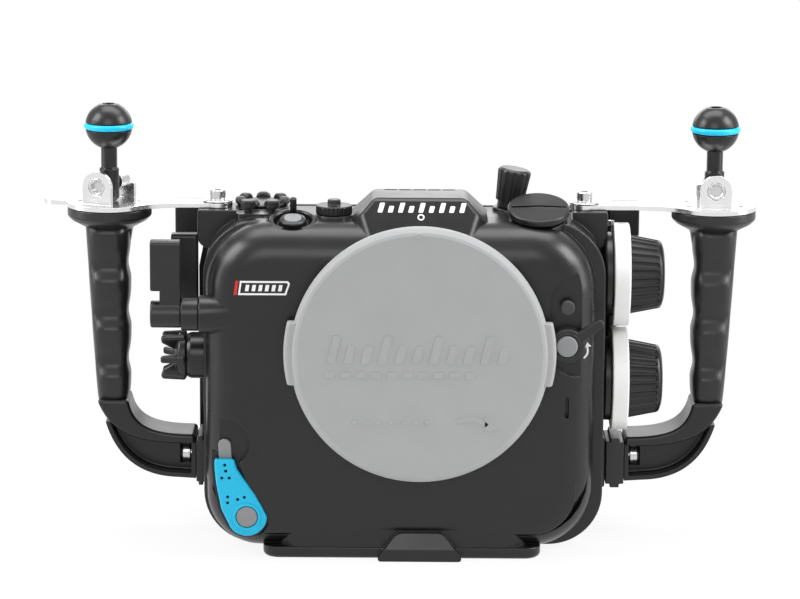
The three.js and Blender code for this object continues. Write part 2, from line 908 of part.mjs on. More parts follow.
function shaftBores() {
  const frontBore = (radius, x, z) => pointedForward(bore(radius, -cavityFront - overrun, frontReach))
    .translate(x, 0, z);
  const deckBore = (radius, x, y) => bore(radius, bodyTop - 2 * bodyWall, bodyTop + overrun).translate(x, y, 0);
  const slanted = (radius, sides) => bore(radius, -3 * bodyWall, overrun, sides);
  return [
    sideBore(knobShaftRadius, 1, knobY, upperKnobZ),
    sideBore(knobShaftRadius, 1, knobY, lowerKnobZ),
    sideBore(leverShaftRadius, -1, leverAxisY, shutterLeverZ),
    sideBore(leverShaftRadius, -1, rearLeverY, rearLeverZ),
    sideBore(leverShaftRadius, -1, sideDialY, sideDialZ),
    frontBore(pinRadius, releaseX, releaseZ),
    frontBore(pinRadius, lockX, lockZ),
    deckBore(leverShaftRadius, modeDialX, modeDialY),
    deckBore(pinRadius, topDialX, topDialY),
    deckBore(pinRadius, postX - postSpread / 2, postY),
    deckBore(pinRadius, postX + postSpread / 2, postY),
    slanted(pinRadius).rotateX(recordTilt).translate(...recordSeat),
    slanted(pinRadius).rotateY(pullKnobLean).translate(...pullKnobSeat),
    slanted(plugRadius / 2, roundSides).rotateX(plugTilt).translate(...plugSeat),
    pointedBack(bore(latchShaftRadius, latchSeatY - overrun, splitReach + overrun))
      .translate(latchX, 0, latchZ),
  ];
}

function fastenerHoles() {
  return handles.flatMap((handle) => {
    const { out } = handle;
    const screw = bore(screwRadius, deckZ - screwGrip - seatGap, deckZ + overrun)
      .translate(stayScrewX(handle), 0, 0);
    const bolt = bore(armBoltRadius, -overrun, armBoltGrip + seatGap);
    const boltIn = out < 0 ? pointedRight(bolt) : pointedLeft(bolt);
    return [screw, boltIn.translate(bossEnd(handle), 0, armBoltZ)];
  });
}

function frontShell() {
  const tallest = bodyTop + humpHeight + overrun;
  const split = [splitReach + overrun, deckZ - splitFall];
  const cast = joined(
    cut(
      roundedBox(shellFrame, 0, bodyEdgeRadius, bodyFront, splitReach),
      above([deckFallStart, bodyTop], split, tallest),
    ),
    cut(hump(), above([humpFallStart, bodyTop + humpHeight], split, tallest)),
    foot(),
    latchPad(),
    pointedLeft(rod(fairingRadius, 0, fairingLength + leverBushReach, roundSides))
      .translate(bodyLeft + fairingLength, leverAxisY, shutterLeverZ),
    pointedLeft(rod(leverHubRadius, -bodyWall, rearLeverStart - seatGap))
      .translate(bodyLeft, rearLeverY, rearLeverZ),
    ...handles.map(stayBlock),
    ...handles.map(armBoss),
    ...deckBosses(),
    hingeKnuckle(0, bodyRight - bodyWall, [splitReach - webThickness, splitReach]),
    hingeKnuckle(2, bodyRight - bodyWall, [splitReach - webThickness, splitReach]),
  );
  const humpRoom = block(
    [humpCentre - humpTopWidth / 2 + bodyWall, humpCentre + humpTopWidth / 2 - bodyWall],
    [bodyFront + 2 * bodyWall + humpFrontSlope, humpFallStart + bodyWall],
    [bodyTop - 2 * bodyWall, bodyTop + humpHeight - bodyWall],
  );
  const shelfRight = bodyRight + bodyEdgeRadius;
  const shelf = filleted([
    [shelfLeft, shelfBottom, shelfCorner],
    [shelfRight, shelfBottom, 0],
    [shelfRight, shelfTop, 0],
    [shelfLeft, shelfTop, shelfCorner],
  ]);
  return cut(
    cast,
    roundedBox(cavityFrame, bodyWall, bodyEdgeRadius - bodyWall, cavityFront, splitReach + overrun),
    humpRoom,
    pointedForward(rod(portBore, -cavityFront - overrun, frontReach + overrun, fineSides)).translate(portX, 0, portZ),
    frontSlab(shelf, bodyFront - overrun, shelfY),
    latchRecess(),
    ...tiltedSeats(),
    ...humpVents(),
    frameBand(cavityFrame, rimSealInset - rimSealWidth / 2 - seatGap, rimSealInset + rimSealWidth / 2 + seatGap,
      splitReach - rimSealDepth, splitReach + overrun),
    hingeBore(),
    ...shaftBores(),
    ...fastenerHoles(),
  );
}

function rearButtonZs() {
  return Array.from({ length: rearButtonCount }, (_, step) => rearButtonZ + step * rearButtonPitch);
}

function thumbHub(out) {
  const edge = out < 0 ? rearLeft : rearRight;
  return { x: edge - out * thumbHubInset, z: rearTop - thumbHubDrop, edge };
}

function rearShell() {
  const backBore = (radius, x, z) => pointedBack(bore(radius, rearFace + rearWall, rearBack + overrun))
    .translate(x, 0, z);
  const pane = (grow) => rectangle(windowWidth + grow, windowHeight + grow, windowCorner + grow / 2, windowX, windowZ);
  const shell = joined(
    cut(
      roundedBox(rearFrame, 0, rearEdgeRadius, rearBack, rearFace),
      roundedBox(rearCavityFrame, rearWall, rearEdgeRadius - rearWall, rearBack - rearWall, rearFace - overrun),
      above([rearFace - overrun, deckZ - splitFall], [rearBack + overrun, deckZ - splitFall - doorFall],
        rearTop + overrun),
    ),
    pointedBack(rod(camPocketRadius + rearWall / 2, rearFace, rearBack - rearWall / 2))
      .translate(latchX, 0, latchZ),
    hingeKnuckle(1, rearRight - rearWall, [rearFace, rearFace + webThickness]),
    hingeKnuckle(3, rearRight - rearWall, [rearFace, rearFace + webThickness]),
  );
  return cut(
    shell,
    pointedBack(rod(camPocketRadius, rearFace - overrun, splitReach + 2 * camDepth + camThickness))
      .translate(latchX, 0, latchZ),
    frontSlab(pane(0), rearFace + rearWall, rearBack + overrun),
    frontSlab(pane(2 * windowLip), rearBack - windowThickness - seatGap, rearBack + overrun),
    hingeBore(),
    ...rearButtonZs().map((z) => backBore(pinRadius, rearButtonX, z)),
    backBore(leverShaftRadius, rearButtonX, rearDialZ),
    ...[-1, 1].map((out) => backBore(pinRadius, thumbHub(out).x, thumbHub(out).z)),
  );
}

addPiece("front_shell", frontShell(), "casting");
addPiece("rear_shell", rearShell(), "casting");
addPiece(
  "main_seal",
  frameBand(cavityFrame, rimSealInset - rimSealWidth / 2, rimSealInset + rimSealWidth / 2,
    splitReach - rimSealDepth + seatGap, splitReach + seatGap / 2),
  "blue",
);
addPiece(
  "monitor_window",
  frontSlab(
    rectangle(windowWidth + 2 * windowLip - 2 * seatGap, windowHeight + 2 * windowLip - 2 * seatGap,
      windowCorner + windowLip - seatGap, windowX, windowZ),
    rearBack - windowThickness,
    rearBack,
  ),
  "glass",
);
addPiece(
  "hinge_pin",
  rod(hingePinRadius, hingeZ - hingePinRadius,
    hingeZ + knuckleCount * (knuckleLength + runningGap) + hingePinRadius, smallSides),
  "steel",
  { at: [hingeX, hingeY, 0] },
);

// Port ring and cap, built about +Z and pointed forward

function addPort() {
  const face = -bodyFront;
  const place = { at: [portX, 0, portZ] };
  const capBack = face + seatGap + ringFlangeThickness + runningGap;
  const capFront = capBack + capThickness;
  const ring = turned([
    [ringBore, face - ringDepth],
    [portBore - seatGap, face - ringDepth],
    [portBore - seatGap, face + seatGap],
    [ringFlangeRadius, face + seatGap],
    [ringFlangeRadius, face + seatGap + ringFlangeThickness],
    [ringBore, face + seatGap + ringFlangeThickness],
    [ringBore, face - ringDepth],
  ], fineSides);
  addPiece("port_bayonet_ring", pointedForward(ring), "casting", place);
  const plug = ringBore - seatGap - sealSection / 2;
  const groove = [capBack - capPlugDepth / 2 - sealSection / 2, capBack - capPlugDepth / 2 + sealSection / 2];
  const plugBack = capBack - capPlugDepth;
  const disc = turned([
    [0, plugBack],
    [plug, plugBack],
    [plug, groove[0] - seatGap],
    [plug - sealSection / 2, groove[0] - seatGap],
    [plug - sealSection / 2, groove[1] + seatGap],
    [plug, groove[1] + seatGap],
    [plug, capBack],
    [capRadius - capEdge / 4, capBack],
    [capRadius, capBack + capEdge / 4],
    [capRadius, capFront - capEdge],
    [capRadius - capEdge * 0.3, capFront - capEdge * 0.3],
    [capRadius - capEdge, capFront],
    [0, capFront],
  ], fineSides);
  const tab = slab(rectangle(2 * capTabRadius, capTabHeight, capEdge), capFront - capTabThickness, capFront - seatGap);
  addPiece("port_cap", pointedForward(joined(disc, tab)), "cap", place);
  const sealReach = (ringBore - seatGap) * Math.cos(Math.PI / fineSides);
  const seal = tube(sealReach, plug - sealSection / 2 + seatGap, groove[0], groove[1], fineSides);
  addPiece("port_cap_seal", pointedForward(seal), "rubber", place);
}

// Round button with a stem behind it, pointing along +Z from its seat at zero.
function button(radius, lift, height, stemReach) {
  const edge = radius / 8;
  return turned([
    [0, -stemReach],
    [pinRadius, -stemReach],
    [pinRadius, lift],
    [radius, lift],
    [radius, lift + height - edge],
    [radius - edge, lift + height],
    [0, lift + height],
  ], smallSides);
}

function addPortLock() {
  const seat = -shelfY;
  const stem = bodyWall - shelfDrop + bodyWall;
  const releaseLift = releaseTravel + seatGap;
  addPiece("lens_release_button", pointedForward(button(releaseRadius, releaseLift, releaseHeight - releaseLift, stem)),
    "grey", { at: [releaseX, shelfY, releaseZ] });
  const place = { at: [lockX, 0, lockZ] };
  const top = seat + lockHubHeight;
  const hub = joined(
    rod(pinRadius, seat - stem, seat + lockHubHeight / 3),
    rod(lockHubRadius, seat + seatGap, top - runningGap, roundSides),
    rod(lockButtonRadius + runningGap + seatGap * 4, seat + seatGap, top, roundSides),
    slab(rectangle(lockArmReach, lockArmWidth, lockArmWidth / 2.2, lockArmReach / 2 + lockArmWidth / 4, 0),
      top - runningGap - lockArmThickness, top - runningGap).rotateZ(radians(lockArmDeg)),
  );
  const pocket = rod(lockButtonRadius + seatGap, top - lockButtonDepth, top + overrun, roundSides);
  addPiece("port_lock_lever", pointedForward(cut(hub, pocket)), "moulding", place);
  const cover = turned([
    [0, top - lockButtonDepth + releaseTravel + seatGap],
    [lockButtonRadius, top - lockButtonDepth + releaseTravel + seatGap],
    [lockButtonRadius, top + lockButtonProud / 2],
    [lockButtonRadius - lockButtonProud / 2, top + lockButtonProud],
    [0, top + lockButtonProud],
  ], roundSides);
  addPiece("port_lock_button", pointedForward(cover), "grey", place);
}

// Latch lever with its pivot shaft, its cam at the back and the sliding safety

function addLatch() {
  const lean = -radians(latchLeanDeg);
  const group = new THREE.Group();
  group.position.set(latchX, 0, latchZ);
  group.rotation.set(0, lean, 0);
  housing.add(group);
  const back = latchSeatY - seatGap;
  const front = back - latchThickness;
  const channelTop = latchReach + overrun;
  const channelLow = latchReach + safetyProud - safetyLength - safetyTravel;
  const channel = block(
    [-safetyWidth / 2 - seatGap, safetyWidth / 2 + seatGap],
    [back - safetyThickness - 2 * seatGap, back + overrun],
    [channelLow - seatGap, channelTop],
  );
  const discHole = latchDiscRadius + seatGap;
  const counterbore = pointedForward(rod(discHole, -front - latchThickness / 2, -front + overrun));
  const hole = pointedForward(bore(latchShaftRadius, -back - overrun, -front + overrun));
  const rim = pointedForward(tube(discHole + latchRimWidth, discHole, -front - overrun / 2, -front + latchRimWidth / 2));
  const lever = cut(joined(frontSlab(latchShape(0), front, back, curveSteps), rim), channel, counterbore, hole);
  addPiece("latch_lever", lever, "blue", { group });
  const shaftEnd = splitReach + camDepth;
  const cam = rectangle(2 * camReach, camWidth, camWidth / 2.2);
  const shaft = joined(
    pointedBack(rod(latchDiscRadius, front - latchRimWidth / 2, front + latchThickness / 2 - seatGap)),
    pointedBack(rod(latchShaftRadius, front, shaftEnd + camThickness / 2, smallSides)),
    frontSlab(cam, shaftEnd, shaftEnd + camThickness),
  );
  addPiece("latch_shaft", shaft, "grey", { group });
  const tip = latchReach + safetyProud;
  const tongue = filleted([
    [-safetyWidth / 2, tip - safetyLength, 0],
    [safetyWidth / 2, tip - safetyLength, 0],
    [safetyWidth / 2, tip, safetyWidth / 2.2],
    [-safetyWidth / 2, tip, safetyWidth / 2.2],
  ]);
  addPiece("latch_safety_button", frontSlab(tongue, back - safetyThickness, back, curveSteps), "grey", { group });
}

// Controls on the door

function addRearControls() {
  const stem = 2 * rearWall;
  rearButtonZs().forEach((z, step) => {
    const place = ["lower", "middle", "upper"][step] ?? `extra_${step}`;
    addPiece(`rear_button_${place}`,
      pointedBack(button(rearButtonRadius, rearButtonTravel + seatGap, rearButtonHeight, stem)),
      "moulding", { at: [rearButtonX, rearBack, z] });
  });
  const dial = joined(
    ribbedDrum([[rearDialRadius, seatGap], [rearDialRadius, rearDialHeight]], pullKnobRibDepth, rearDialRibCount),
    rod(leverShaftRadius, -stem, rearDialHeight / 2, smallSides),
  );
  addPiece("rear_dial", pointedBack(dial), "moulding", { at: [rearButtonX, rearBack, rearDialZ] });
  handles.forEach(({ side, out }) => {
    const hub = thumbHub(out);
    const outer = out * (thumbHubInset + runningGap + thumbWidth);
    const inner = out * (thumbHubInset + runningGap);
    const [low, high] = [thumbHubDrop - thumbRise - thumbHeight, thumbHubDrop - thumbRise];
    const arm = filleted([
      [0, -thumbHubRadius, thumbHubRadius / 2],
      [outer, low, 0],
      [outer, high, thumbRise],
      [inner, high, 0],
      [-out * thumbHubRadius, thumbHubRadius, thumbHubRadius / 2],
    ]);
    const paddle = filleted([
      [inner, low, 0],
      [outer, low, thumbRise],
      [outer, high, thumbRise],
      [inner, high, thumbRise],
    ]);
    const plateFrom = rearBack + seatGap;
    const lever = joined(
      frontSlab(arm, plateFrom, plateFrom + thumbArmThickness),
      frontSlab(paddle, plateFrom + thumbArmThickness - thumbDepth, plateFrom + thumbArmThickness),
      pointedBack(rod(pinRadius, rearBack - stem, plateFrom + thumbArmThickness / 2)),
    );
    addPiece(`${side}_thumb_lever`, lever, "moulding", { at: [hub.x, 0, hub.z] });
  });
}

// Pair of ribbed knobs on the right, each with a white index ring, a bearing and a gear inside

function addSideKnobs() {
  [["upper", upperKnobZ], ["lower", lowerKnobZ]].forEach(([name, z]) => {
    const place = { at: [bodyRight, knobY, z] };
    const ringStart = 2 * seatGap + knobBearingWidth;
    const coneStart = ringStart + knobRingWidth + seatGap;
    const gearEnd = -bodyWall - gearWidth / 2;
    const bearingBore = (knobShaftRadius + seatGap) / Math.cos(Math.PI / roundSides);
    const neckEnd = stayBlockReach + runningGap;
    const bearing = turned([
      [bearingBore, seatGap],
      [knobNeckRadius, seatGap],
      [knobNeckRadius, neckEnd],
      [knobBearingRadius, neckEnd],
      [knobBearingRadius, seatGap + knobBearingWidth],
      [bearingBore, seatGap + knobBearingWidth],
      [bearingBore, seatGap],
    ], roundSides * 2);
    addPiece(`${name}_knob_bearing`, pointedRight(bearing), "casting", place);
    const edge = knobRingWidth / 8;
    const ring = turned([
      [knobHubRadius + seatGap, ringStart],
      [knobRingRadius, ringStart],
      [knobRingRadius, ringStart + knobRingWidth - edge],
      [knobRingRadius - edge, ringStart + knobRingWidth],
      [knobHubRadius + seatGap, ringStart + knobRingWidth],
      [knobHubRadius + seatGap, ringStart],
    ], fineSides);
    addPiece(`${name}_knob_ring`, pointedRight(ring), "white", place);
    const cone = ribbedDrum([
      [knobBaseRadius, coneStart],
      [knobTipRadius + knobRibDepth / 2, coneStart + knobLength - knobRibDepth],
      [knobTipRadius - knobRibDepth / 2, coneStart + knobLength],
    ], knobRibDepth, knobRibCount);
    const knob = joined(
      cone,
      rod(knobHubRadius, ringStart, coneStart + knobLength / 2, roundSides),
      rod(knobShaftRadius, gearEnd - gearWidth, coneStart + knobLength / 2, smallSides),
      ribbedDrum([[gearRadius, gearEnd - gearWidth], [gearRadius, gearEnd]], gearToothDepth, gearToothCount),
    );
    addPiece(`${name}_side_knob`, pointedRight(knob), "moulding", place);
  });
}

// Finger levers on the left: a bush on the shell, a hub that turns on it and an upright paddle

function paddleLever(start, width, hubRadius, foot, height, depth, shaftEnd) {
  const outline = filleted([
    [-leverNeckWidth / 2, 0, 0],
    [leverNeckWidth / 2, 0, 0],
    [leverNeckWidth / 2, foot, 0],
    [depth / 2, foot, 0],
    [depth / 2, foot + height, depth / 4],
    [-depth / 2, foot + height, depth / 4],
    [-depth / 2, foot, depth / 4],
    [-leverNeckWidth / 2, foot, 0],
  ]);
  return joined(
    pointedLeft(rod(hubRadius, start, start + width, roundSides)),
    sideSlab(outline, -start - width, -start),
    pointedLeft(rod(leverShaftRadius, shaftEnd, start + width / 2, smallSides)),
  );
}

function addFingerLevers() {
  const place = { at: [bodyLeft, leverAxisY, shutterLeverZ] };
  const bushStart = leverBushReach + seatGap;
  const bush = tube(leverBushRadius, leverShaftRadius + seatGap, bushStart, bushStart + leverBushWidth);
  addPiece("shutter_lever_bush", pointedLeft(bush), "casting", place);
  const shaftEnd = -bodyWall - gearWidth;
  const leverStart = bushStart + leverBushWidth + seatGap;
  const foot = leverPaddleFoot;
  const paddle = paddleLever(
    leverStart, leverPaddleWidth, leverHubRadius, foot, leverPaddleHeight, leverPaddleDepth, shaftEnd,
  );
  const leverEnd = leverStart + leverPaddleWidth;
  const neckRelief = block(
    [-leverEnd - overrun, -leverEnd + leverNeckInset],
    [-leverPaddleDepth, leverPaddleDepth],
    [leverHubRadius, foot],
  );
  addPiece("shutter_lever", cut(paddle, neckRelief), "moulding", place);
  const rearPaddle = paddleLever(
    rearLeverStart, rearLeverWidth, leverHubRadius, rearLeverFoot, rearLeverHeight, leverPaddleDepth, shaftEnd,
  );
  addPiece("record_lever", rearPaddle, "moulding", { at: [bodyLeft, rearLeverY, rearLeverZ] });
  const dialPlace = { at: [bodyLeft, sideDialY, sideDialZ] };
  const bossEndX = seatGap + sideDialBossWidth;
  addPiece("side_dial_boss",
    pointedLeft(tube(sideDialBossRadius, leverShaftRadius + seatGap, seatGap, bossEndX)),
    "casting", dialPlace);
  const dial = joined(
    lobedDial(sideDialRadius, sideDialThickness, sideDialLobe, sideDialLobeCount).translate(0, 0, bossEndX + seatGap),
    rod(leverShaftRadius, shaftEnd, bossEndX + sideDialThickness / 2, smallSides),
  );
  addPiece("side_lobed_dial", pointedLeft(dial), "moulding", dialPlace);
}

// Dials, buttons and the zoom ring on the top left

function addTopControls() {
  const stem = 2 * bodyWall;
  const modeDial = joined(
    lobedDial(modeDialRadius, modeDialThickness, modeDialLobe, modeDialLobeCount).translate(0, 0, seatGap),
    rod(leverShaftRadius, -stem, modeDialThickness / 2, smallSides),
  );
  addPiece("mode_dial", modeDial, "moulding", { at: [modeDialX, modeDialY, deckZ] });
  const topDial = joined(
    ribbedDrum([[topDialRadius, seatGap], [topDialRadius, topDialThickness]], pullKnobRibDepth / 2, topDialRibCount),
    rod(topDialCapRadius, topDialThickness / 2, topDialThickness + topDialCapHeight),
    rod(pinRadius, -stem, topDialThickness / 2, smallSides),
  );
  addPiece("top_dial", topDial, "moulding", { at: [topDialX, topDialY, deckZ] });
  [["left", -1], ["right", 1]].forEach(([side, sign]) => {
    addPiece(`${side}_post_button`, button(postRadius, postTravel + seatGap, postHeight, stem), "moulding",
      { at: [postX + (sign * postSpread) / 2, postY, deckZ] });
  });
  const group = new THREE.Group();
  group.position.set(...recordSeat);
  group.rotation.set(recordTilt, 0, 0);
  housing.add(group);
  const lift = recordTravel + 2 * seatGap;
  addPiece("record_button", button(recordRadius, lift, recordHeight, stem), "moulding", { group });
  const collar = recordRadius + runningGap;
  const ringInner = zoomRingRadius - zoomRingWidth;
  const spokes = Array.from({ length: zoomSpokeCount }, (_, step) => {
    const spoke = slab(rectangle(ringInner - collar, zoomSpokeWidth, 0, (ringInner + collar) / 2 + seatGap, 0),
      seatGap, seatGap + zoomRingHeight / 2);
    return spoke.rotateZ(quarterTurn + (step / zoomSpokeCount) * fullTurn);
  });
  const ring = joined(
    tube(zoomRingRadius, ringInner, seatGap, seatGap + zoomRingHeight),
    tube(collar + zoomCollarWall, collar, seatGap, seatGap + zoomRingHeight),
    rod(zoomPostRadius, seatGap, zoomPostHeight, smallSides).translate(0, zoomRingRadius - zoomPostRadius, 0),
    ...spokes,
  );
  addPiece("zoom_ring", ring, "moulding", { group });
}

// Pull knob and slotted bulkhead plug on the top right

function addTopRight() {
  const stem = 2 * bodyWall;
  const collarTop = pullKnobCollarHeight;
  const top = collarTop + pullKnobHeight;
  const knob = joined(
    ribbedDrum([
      [pullKnobBaseRadius, collarTop],
      [pullKnobTipRadius, top - pullKnobRibDepth],
      [pullKnobTipRadius - pullKnobRibDepth, top],
    ], pullKnobRibDepth, pullKnobRibCount),
    rod(pullKnobCollarRadius, seatGap, collarTop + pullKnobHeight / 2),
    rod(pinRadius, -stem, collarTop, smallSides),
  );
  addPiece("ribbed_knob", knob, "moulding", { at: pullKnobSeat, turn: [0, pullKnobLean, 0] });
  const edge = plugThickness / 4;
  const plug = turned([
    [0, -bodyWall],
    [plugRadius / 2, -bodyWall],
    [plugRadius / 2, seatGap],
    [plugRadius - edge, seatGap],
    [plugRadius, seatGap + edge],
    [plugRadius, plugThickness - edge / 2],
    [plugRadius - edge / 2, plugThickness],
    [0, plugThickness],
  ], fineSides);
  const slot = block(
    [-plugRadius + edge, plugRadius - edge],
    [-plugSlotWidth / 2, plugSlotWidth / 2],
    [plugThickness - plugSlotDepth, plugThickness + overrun],
  );
  addPiece("bulkhead_plug", cut(plug, slot), "casting", { at: plugSeat, turn: [plugTilt, 0, 0] });
}

addPort();
addPortLock();
addLatch();
addRearControls();
addSideKnobs();
addFingerLevers();
addTopControls();
addTopRight();

// Stays, ball stems and their bolts, all built about the handle's axis

function socketScrewHead(radius, from, height) {
  const head = rod(radius, from, from + height);
  return cut(head, rod(socketRadius, from + height - socketDepth, from + height + overrun, 6));
}

function addStay(handle) {
  const { side, out, x, turn } = handle;
  const reach = out * (x - stayScrewX(handle));
  const strap = joined(
    slab(rectangle(reach, stayWidth, 0, (-out * reach) / 2, 0), 0, stayThickness),
    rod(stayDiscRadius, 0, stayThickness, fineSides),
    rod(stayEndRadius, 0, stayThickness).translate(-out * reach, 0, 0),
  );
  const plate = side === "left" ? joined(strap, tongue()) : strap;
  const ear = (sign) => frontSlab(earShape(), Math.min(sign * earGap / 2, sign * (earGap / 2 + stayThickness)),
    Math.max(sign * earGap / 2, sign * (earGap / 2 + stayThickness)), curveSteps);
  const eye = pointedBack(bore(stemBoltHeadRadius, -earGap, earGap, smallSides)).translate(0, 0, stemAxisZ - stayZ);
  const ears = cut(joined(ear(-1), ear(1)), eye).rotateZ(-turn);
  const holes = [-1, 1].flatMap((alongX) => [-1, 1].map((alongY) => (
    rod(stayHoleRadius, -overrun, stayThickness + overrun, boreSides)
      .translate(alongX * stayHoleSpread, alongY * stayHoleSpread / 2, 0).rotateZ(-turn)
  )));
  const screwHole = bore(screwRadius, -overrun, stayThickness + overrun).translate(-out * reach, 0, 0);
  const slot = block(
    [-out * (reach - staySlotInset) - staySlotLength / 2, -out * (reach - staySlotInset) + staySlotLength / 2],
    [-staySlotWidth / 2, staySlotWidth / 2],
    [-overrun, stayThickness + overrun],
  );
  addPiece(`${side}_stay`, cut(joined(plate, ears), screwHole, slot, ...holes), "steel", { at: [x, 0, stayZ] });
  const washerTop = stayThickness + seatGap + washerThickness;
  const screw = joined(
    rod(washerRadius, stayThickness + seatGap, washerTop, roundSides),
    socketScrewHead(screwHeadRadius, washerTop - seatGap, screwHeadHeight + seatGap),
    rod(screwRadius, -screwGrip, washerTop, smallSides),
  );
  addPiece(`${side}_stay_screw`, screw, "steel", { at: [stayScrewX(handle), 0, stayZ] });
}

// Upright ear, drawn in X and Z from the underside of the stay.
function earShape() {
  const top = stayThickness + earHeight;
  return filleted([
    [-earWidth / 2, 0, 0],
    [earWidth / 2, 0, 0],
    [earWidth / 2, top, earWidth / 2.02],
    [-earWidth / 2, top, earWidth / 2.02],
  ]);
}

// Tongue that reaches out and back from the left stay, with a round end and a hole.
function tongue() {
  const length = stayDiscRadius + tongueReach - tongueWidth / 2;
  const arm = joined(
    slab(rectangle(length, tongueWidth, 0, length / 2, 0), 0, stayThickness),
    rod(tongueWidth / 2, 0, stayThickness).translate(length, 0, 0),
  );
  const hole = rod(stayHoleRadius, -overrun, stayThickness + overrun, boreSides).translate(length, 0, 0);
  return cut(arm, hole).rotateZ(Math.PI - radians(tongueSweepDeg));
}

function addBallStem({ side, x, turn }) {
  const group = new THREE.Group();
  group.position.set(x, 0, stemAxisZ);
  group.rotation.set(0, 0, -turn);
  housing.add(group);
  const foot = stemAxisZ - stayTopZ - runningGap;
  const flat = ballRadius * ballFlatShare;
  const grooveHalf = ballRingSection + seatGap;
  const grooveRadius = ballRingReach - ballRingSection - seatGap;
  const spherePoint = (height) => [Math.sqrt(ballRadius ** 2 - height ** 2), ballRise + height];
  const lowStart = -Math.sqrt(ballRadius ** 2 - neckRadius ** 2);
  const arc = (from, to) => Array.from({ length: ballArcSteps + 1 }, (_, step) => (
    spherePoint(from + ((to - from) * step) / ballArcSteps)
  ));
  const stem = turned([
    [0, -foot],
    [collarRadius * 0.6, -foot + stemTipBevel],
    [collarRadius, -foot + 2 * stemTipBevel],
    [collarRadius, collarRise],
    [neckRadius, collarRise],
    ...arc(lowStart, -grooveHalf),
    [grooveRadius, ballRise - grooveHalf],
    [grooveRadius, ballRise + grooveHalf],
    ...arc(grooveHalf, flat),
    [0, ballRise + flat],
  ], roundSides);
  const socket = rod(hexSocketRadius, ballRise + flat - hexSocketDepth, ballRise + flat + overrun, 6);
  const eye = pointedBack(bore(stemBoltRadius, -collarRadius - overrun, collarRadius + overrun));
  addPiece(`${side}_ball_stem`, cut(stem, socket, eye), "casting", { group });
  const ring = new THREE.TorusGeometry(ballRingReach, ballRingSection, smallSides / 2, roundSides).translate(0, 0, ballRise);
  addPiece(`${side}_ball_ring`, ring, "blue", { group });
  const half = earGap / 2;
  const bolt = turned([
    [0, -half - stayThickness],
    [stemBoltHeadRadius, -half - stayThickness],
    [stemBoltHeadRadius, -collarRadius - runningGap],
    [stemBoltRadius, -collarRadius - runningGap],
    [stemBoltRadius, collarRadius + runningGap],
    [stemBoltHeadRadius, collarRadius + runningGap],
    [stemBoltHeadRadius, half + stayThickness],
    [0, half + stayThickness],
  ], smallSides);
  addPiece(`${side}_stem_bolt`, pointedBack(bolt), "steel", { group });
}

// Grip with finger scallops on its front and its inner side, under a round flange
function gripRing(out, share) {
  const z = armTopZ + seatGap + share * (deckZ - gripDish - armTopZ - seatGap);
  const width = gripTipWidth + (gripTopWidth - gripTipWidth) * share ** gripSwellShare;
  const depth = gripTipDepth + (gripDepth - gripTipDepth) * share;
  const wave = (1 - Math.cos(fullTurn * scallopCount * (share - scallopStartShare))) / 2;
  const count = smallSides + 2;
  return Array.from({ length: count }, (_, step) => {
    const angle = (step / count) * fullTurn;
    const [across, along] = [Math.cos(angle), Math.sin(angle)];
    const squared = (value) => Math.sign(value) * Math.abs(value) ** gripSquareShare;
    const pulledBack = Math.max(-along, 0) * wave * scallopDepth;
    const pulledOut = Math.max(-across, 0) * wave * scallopDepth * innerScallopShare;
    return new THREE.Vector3(
      out * ((width / 2) * squared(across) + pulledOut),
      (depth / 2) * squared(along) + pulledBack,
      z,
    );
  });
}

function addGrip({ side, out, x }) {
  const rings = Array.from({ length: gripStationCount + 1 }, (_, step) => gripRing(out, step / gripStationCount));
  const flange = turned([
    [0, deckZ - 2 * gripDish],
    [gripTipWidth / 2, deckZ - 1.6 * gripDish],
    [gripTopWidth / 2 + 1 * seatGap, deckZ - gripDish],
    [stayDiscRadius * 0.85, deckZ - 0.62 * gripDish],
    [stayDiscRadius - seatGap, deckZ - 0.32 * gripDish],
    [stayDiscRadius - seatGap, deckZ],
    [0, deckZ],
  ], fineSides);
  addPiece(`${side}_grip`, joined(loft(rings), flange), "rubber", { at: [x, 0, 0] });
}

// Outline of the arm, drawn outwards from its root, drawn in by an inset.
function armShape(inset) {
  const outer = armRootReach + gripTipWidth / 2 - inset;
  const inner = armRootReach - gripTipWidth / 2 + inset;
  const start = inset ? armEndWall : 0;
  const [low, high] = [armLowZ + inset, armLowZ + armHeight - inset];
  const top = armTopZ - inset;
  const rise = armTopZ - armLowZ;
  const shape = new THREE.Shape();
  shape.moveTo(start, low);
  shape.lineTo(outer * armHeelShare, low);
  shape.bezierCurveTo(outer * armKneeShare, low, outer, low + rise * armHipShare, outer, top);
  shape.lineTo(inner, top);
  shape.bezierCurveTo(inner, high + (top - high) * armThroatShare, inner * armThroatReachShare, high,
    inner * armHeelShare * 2, high);
  shape.lineTo(start, high);
  shape.closePath();
  return shape;
}

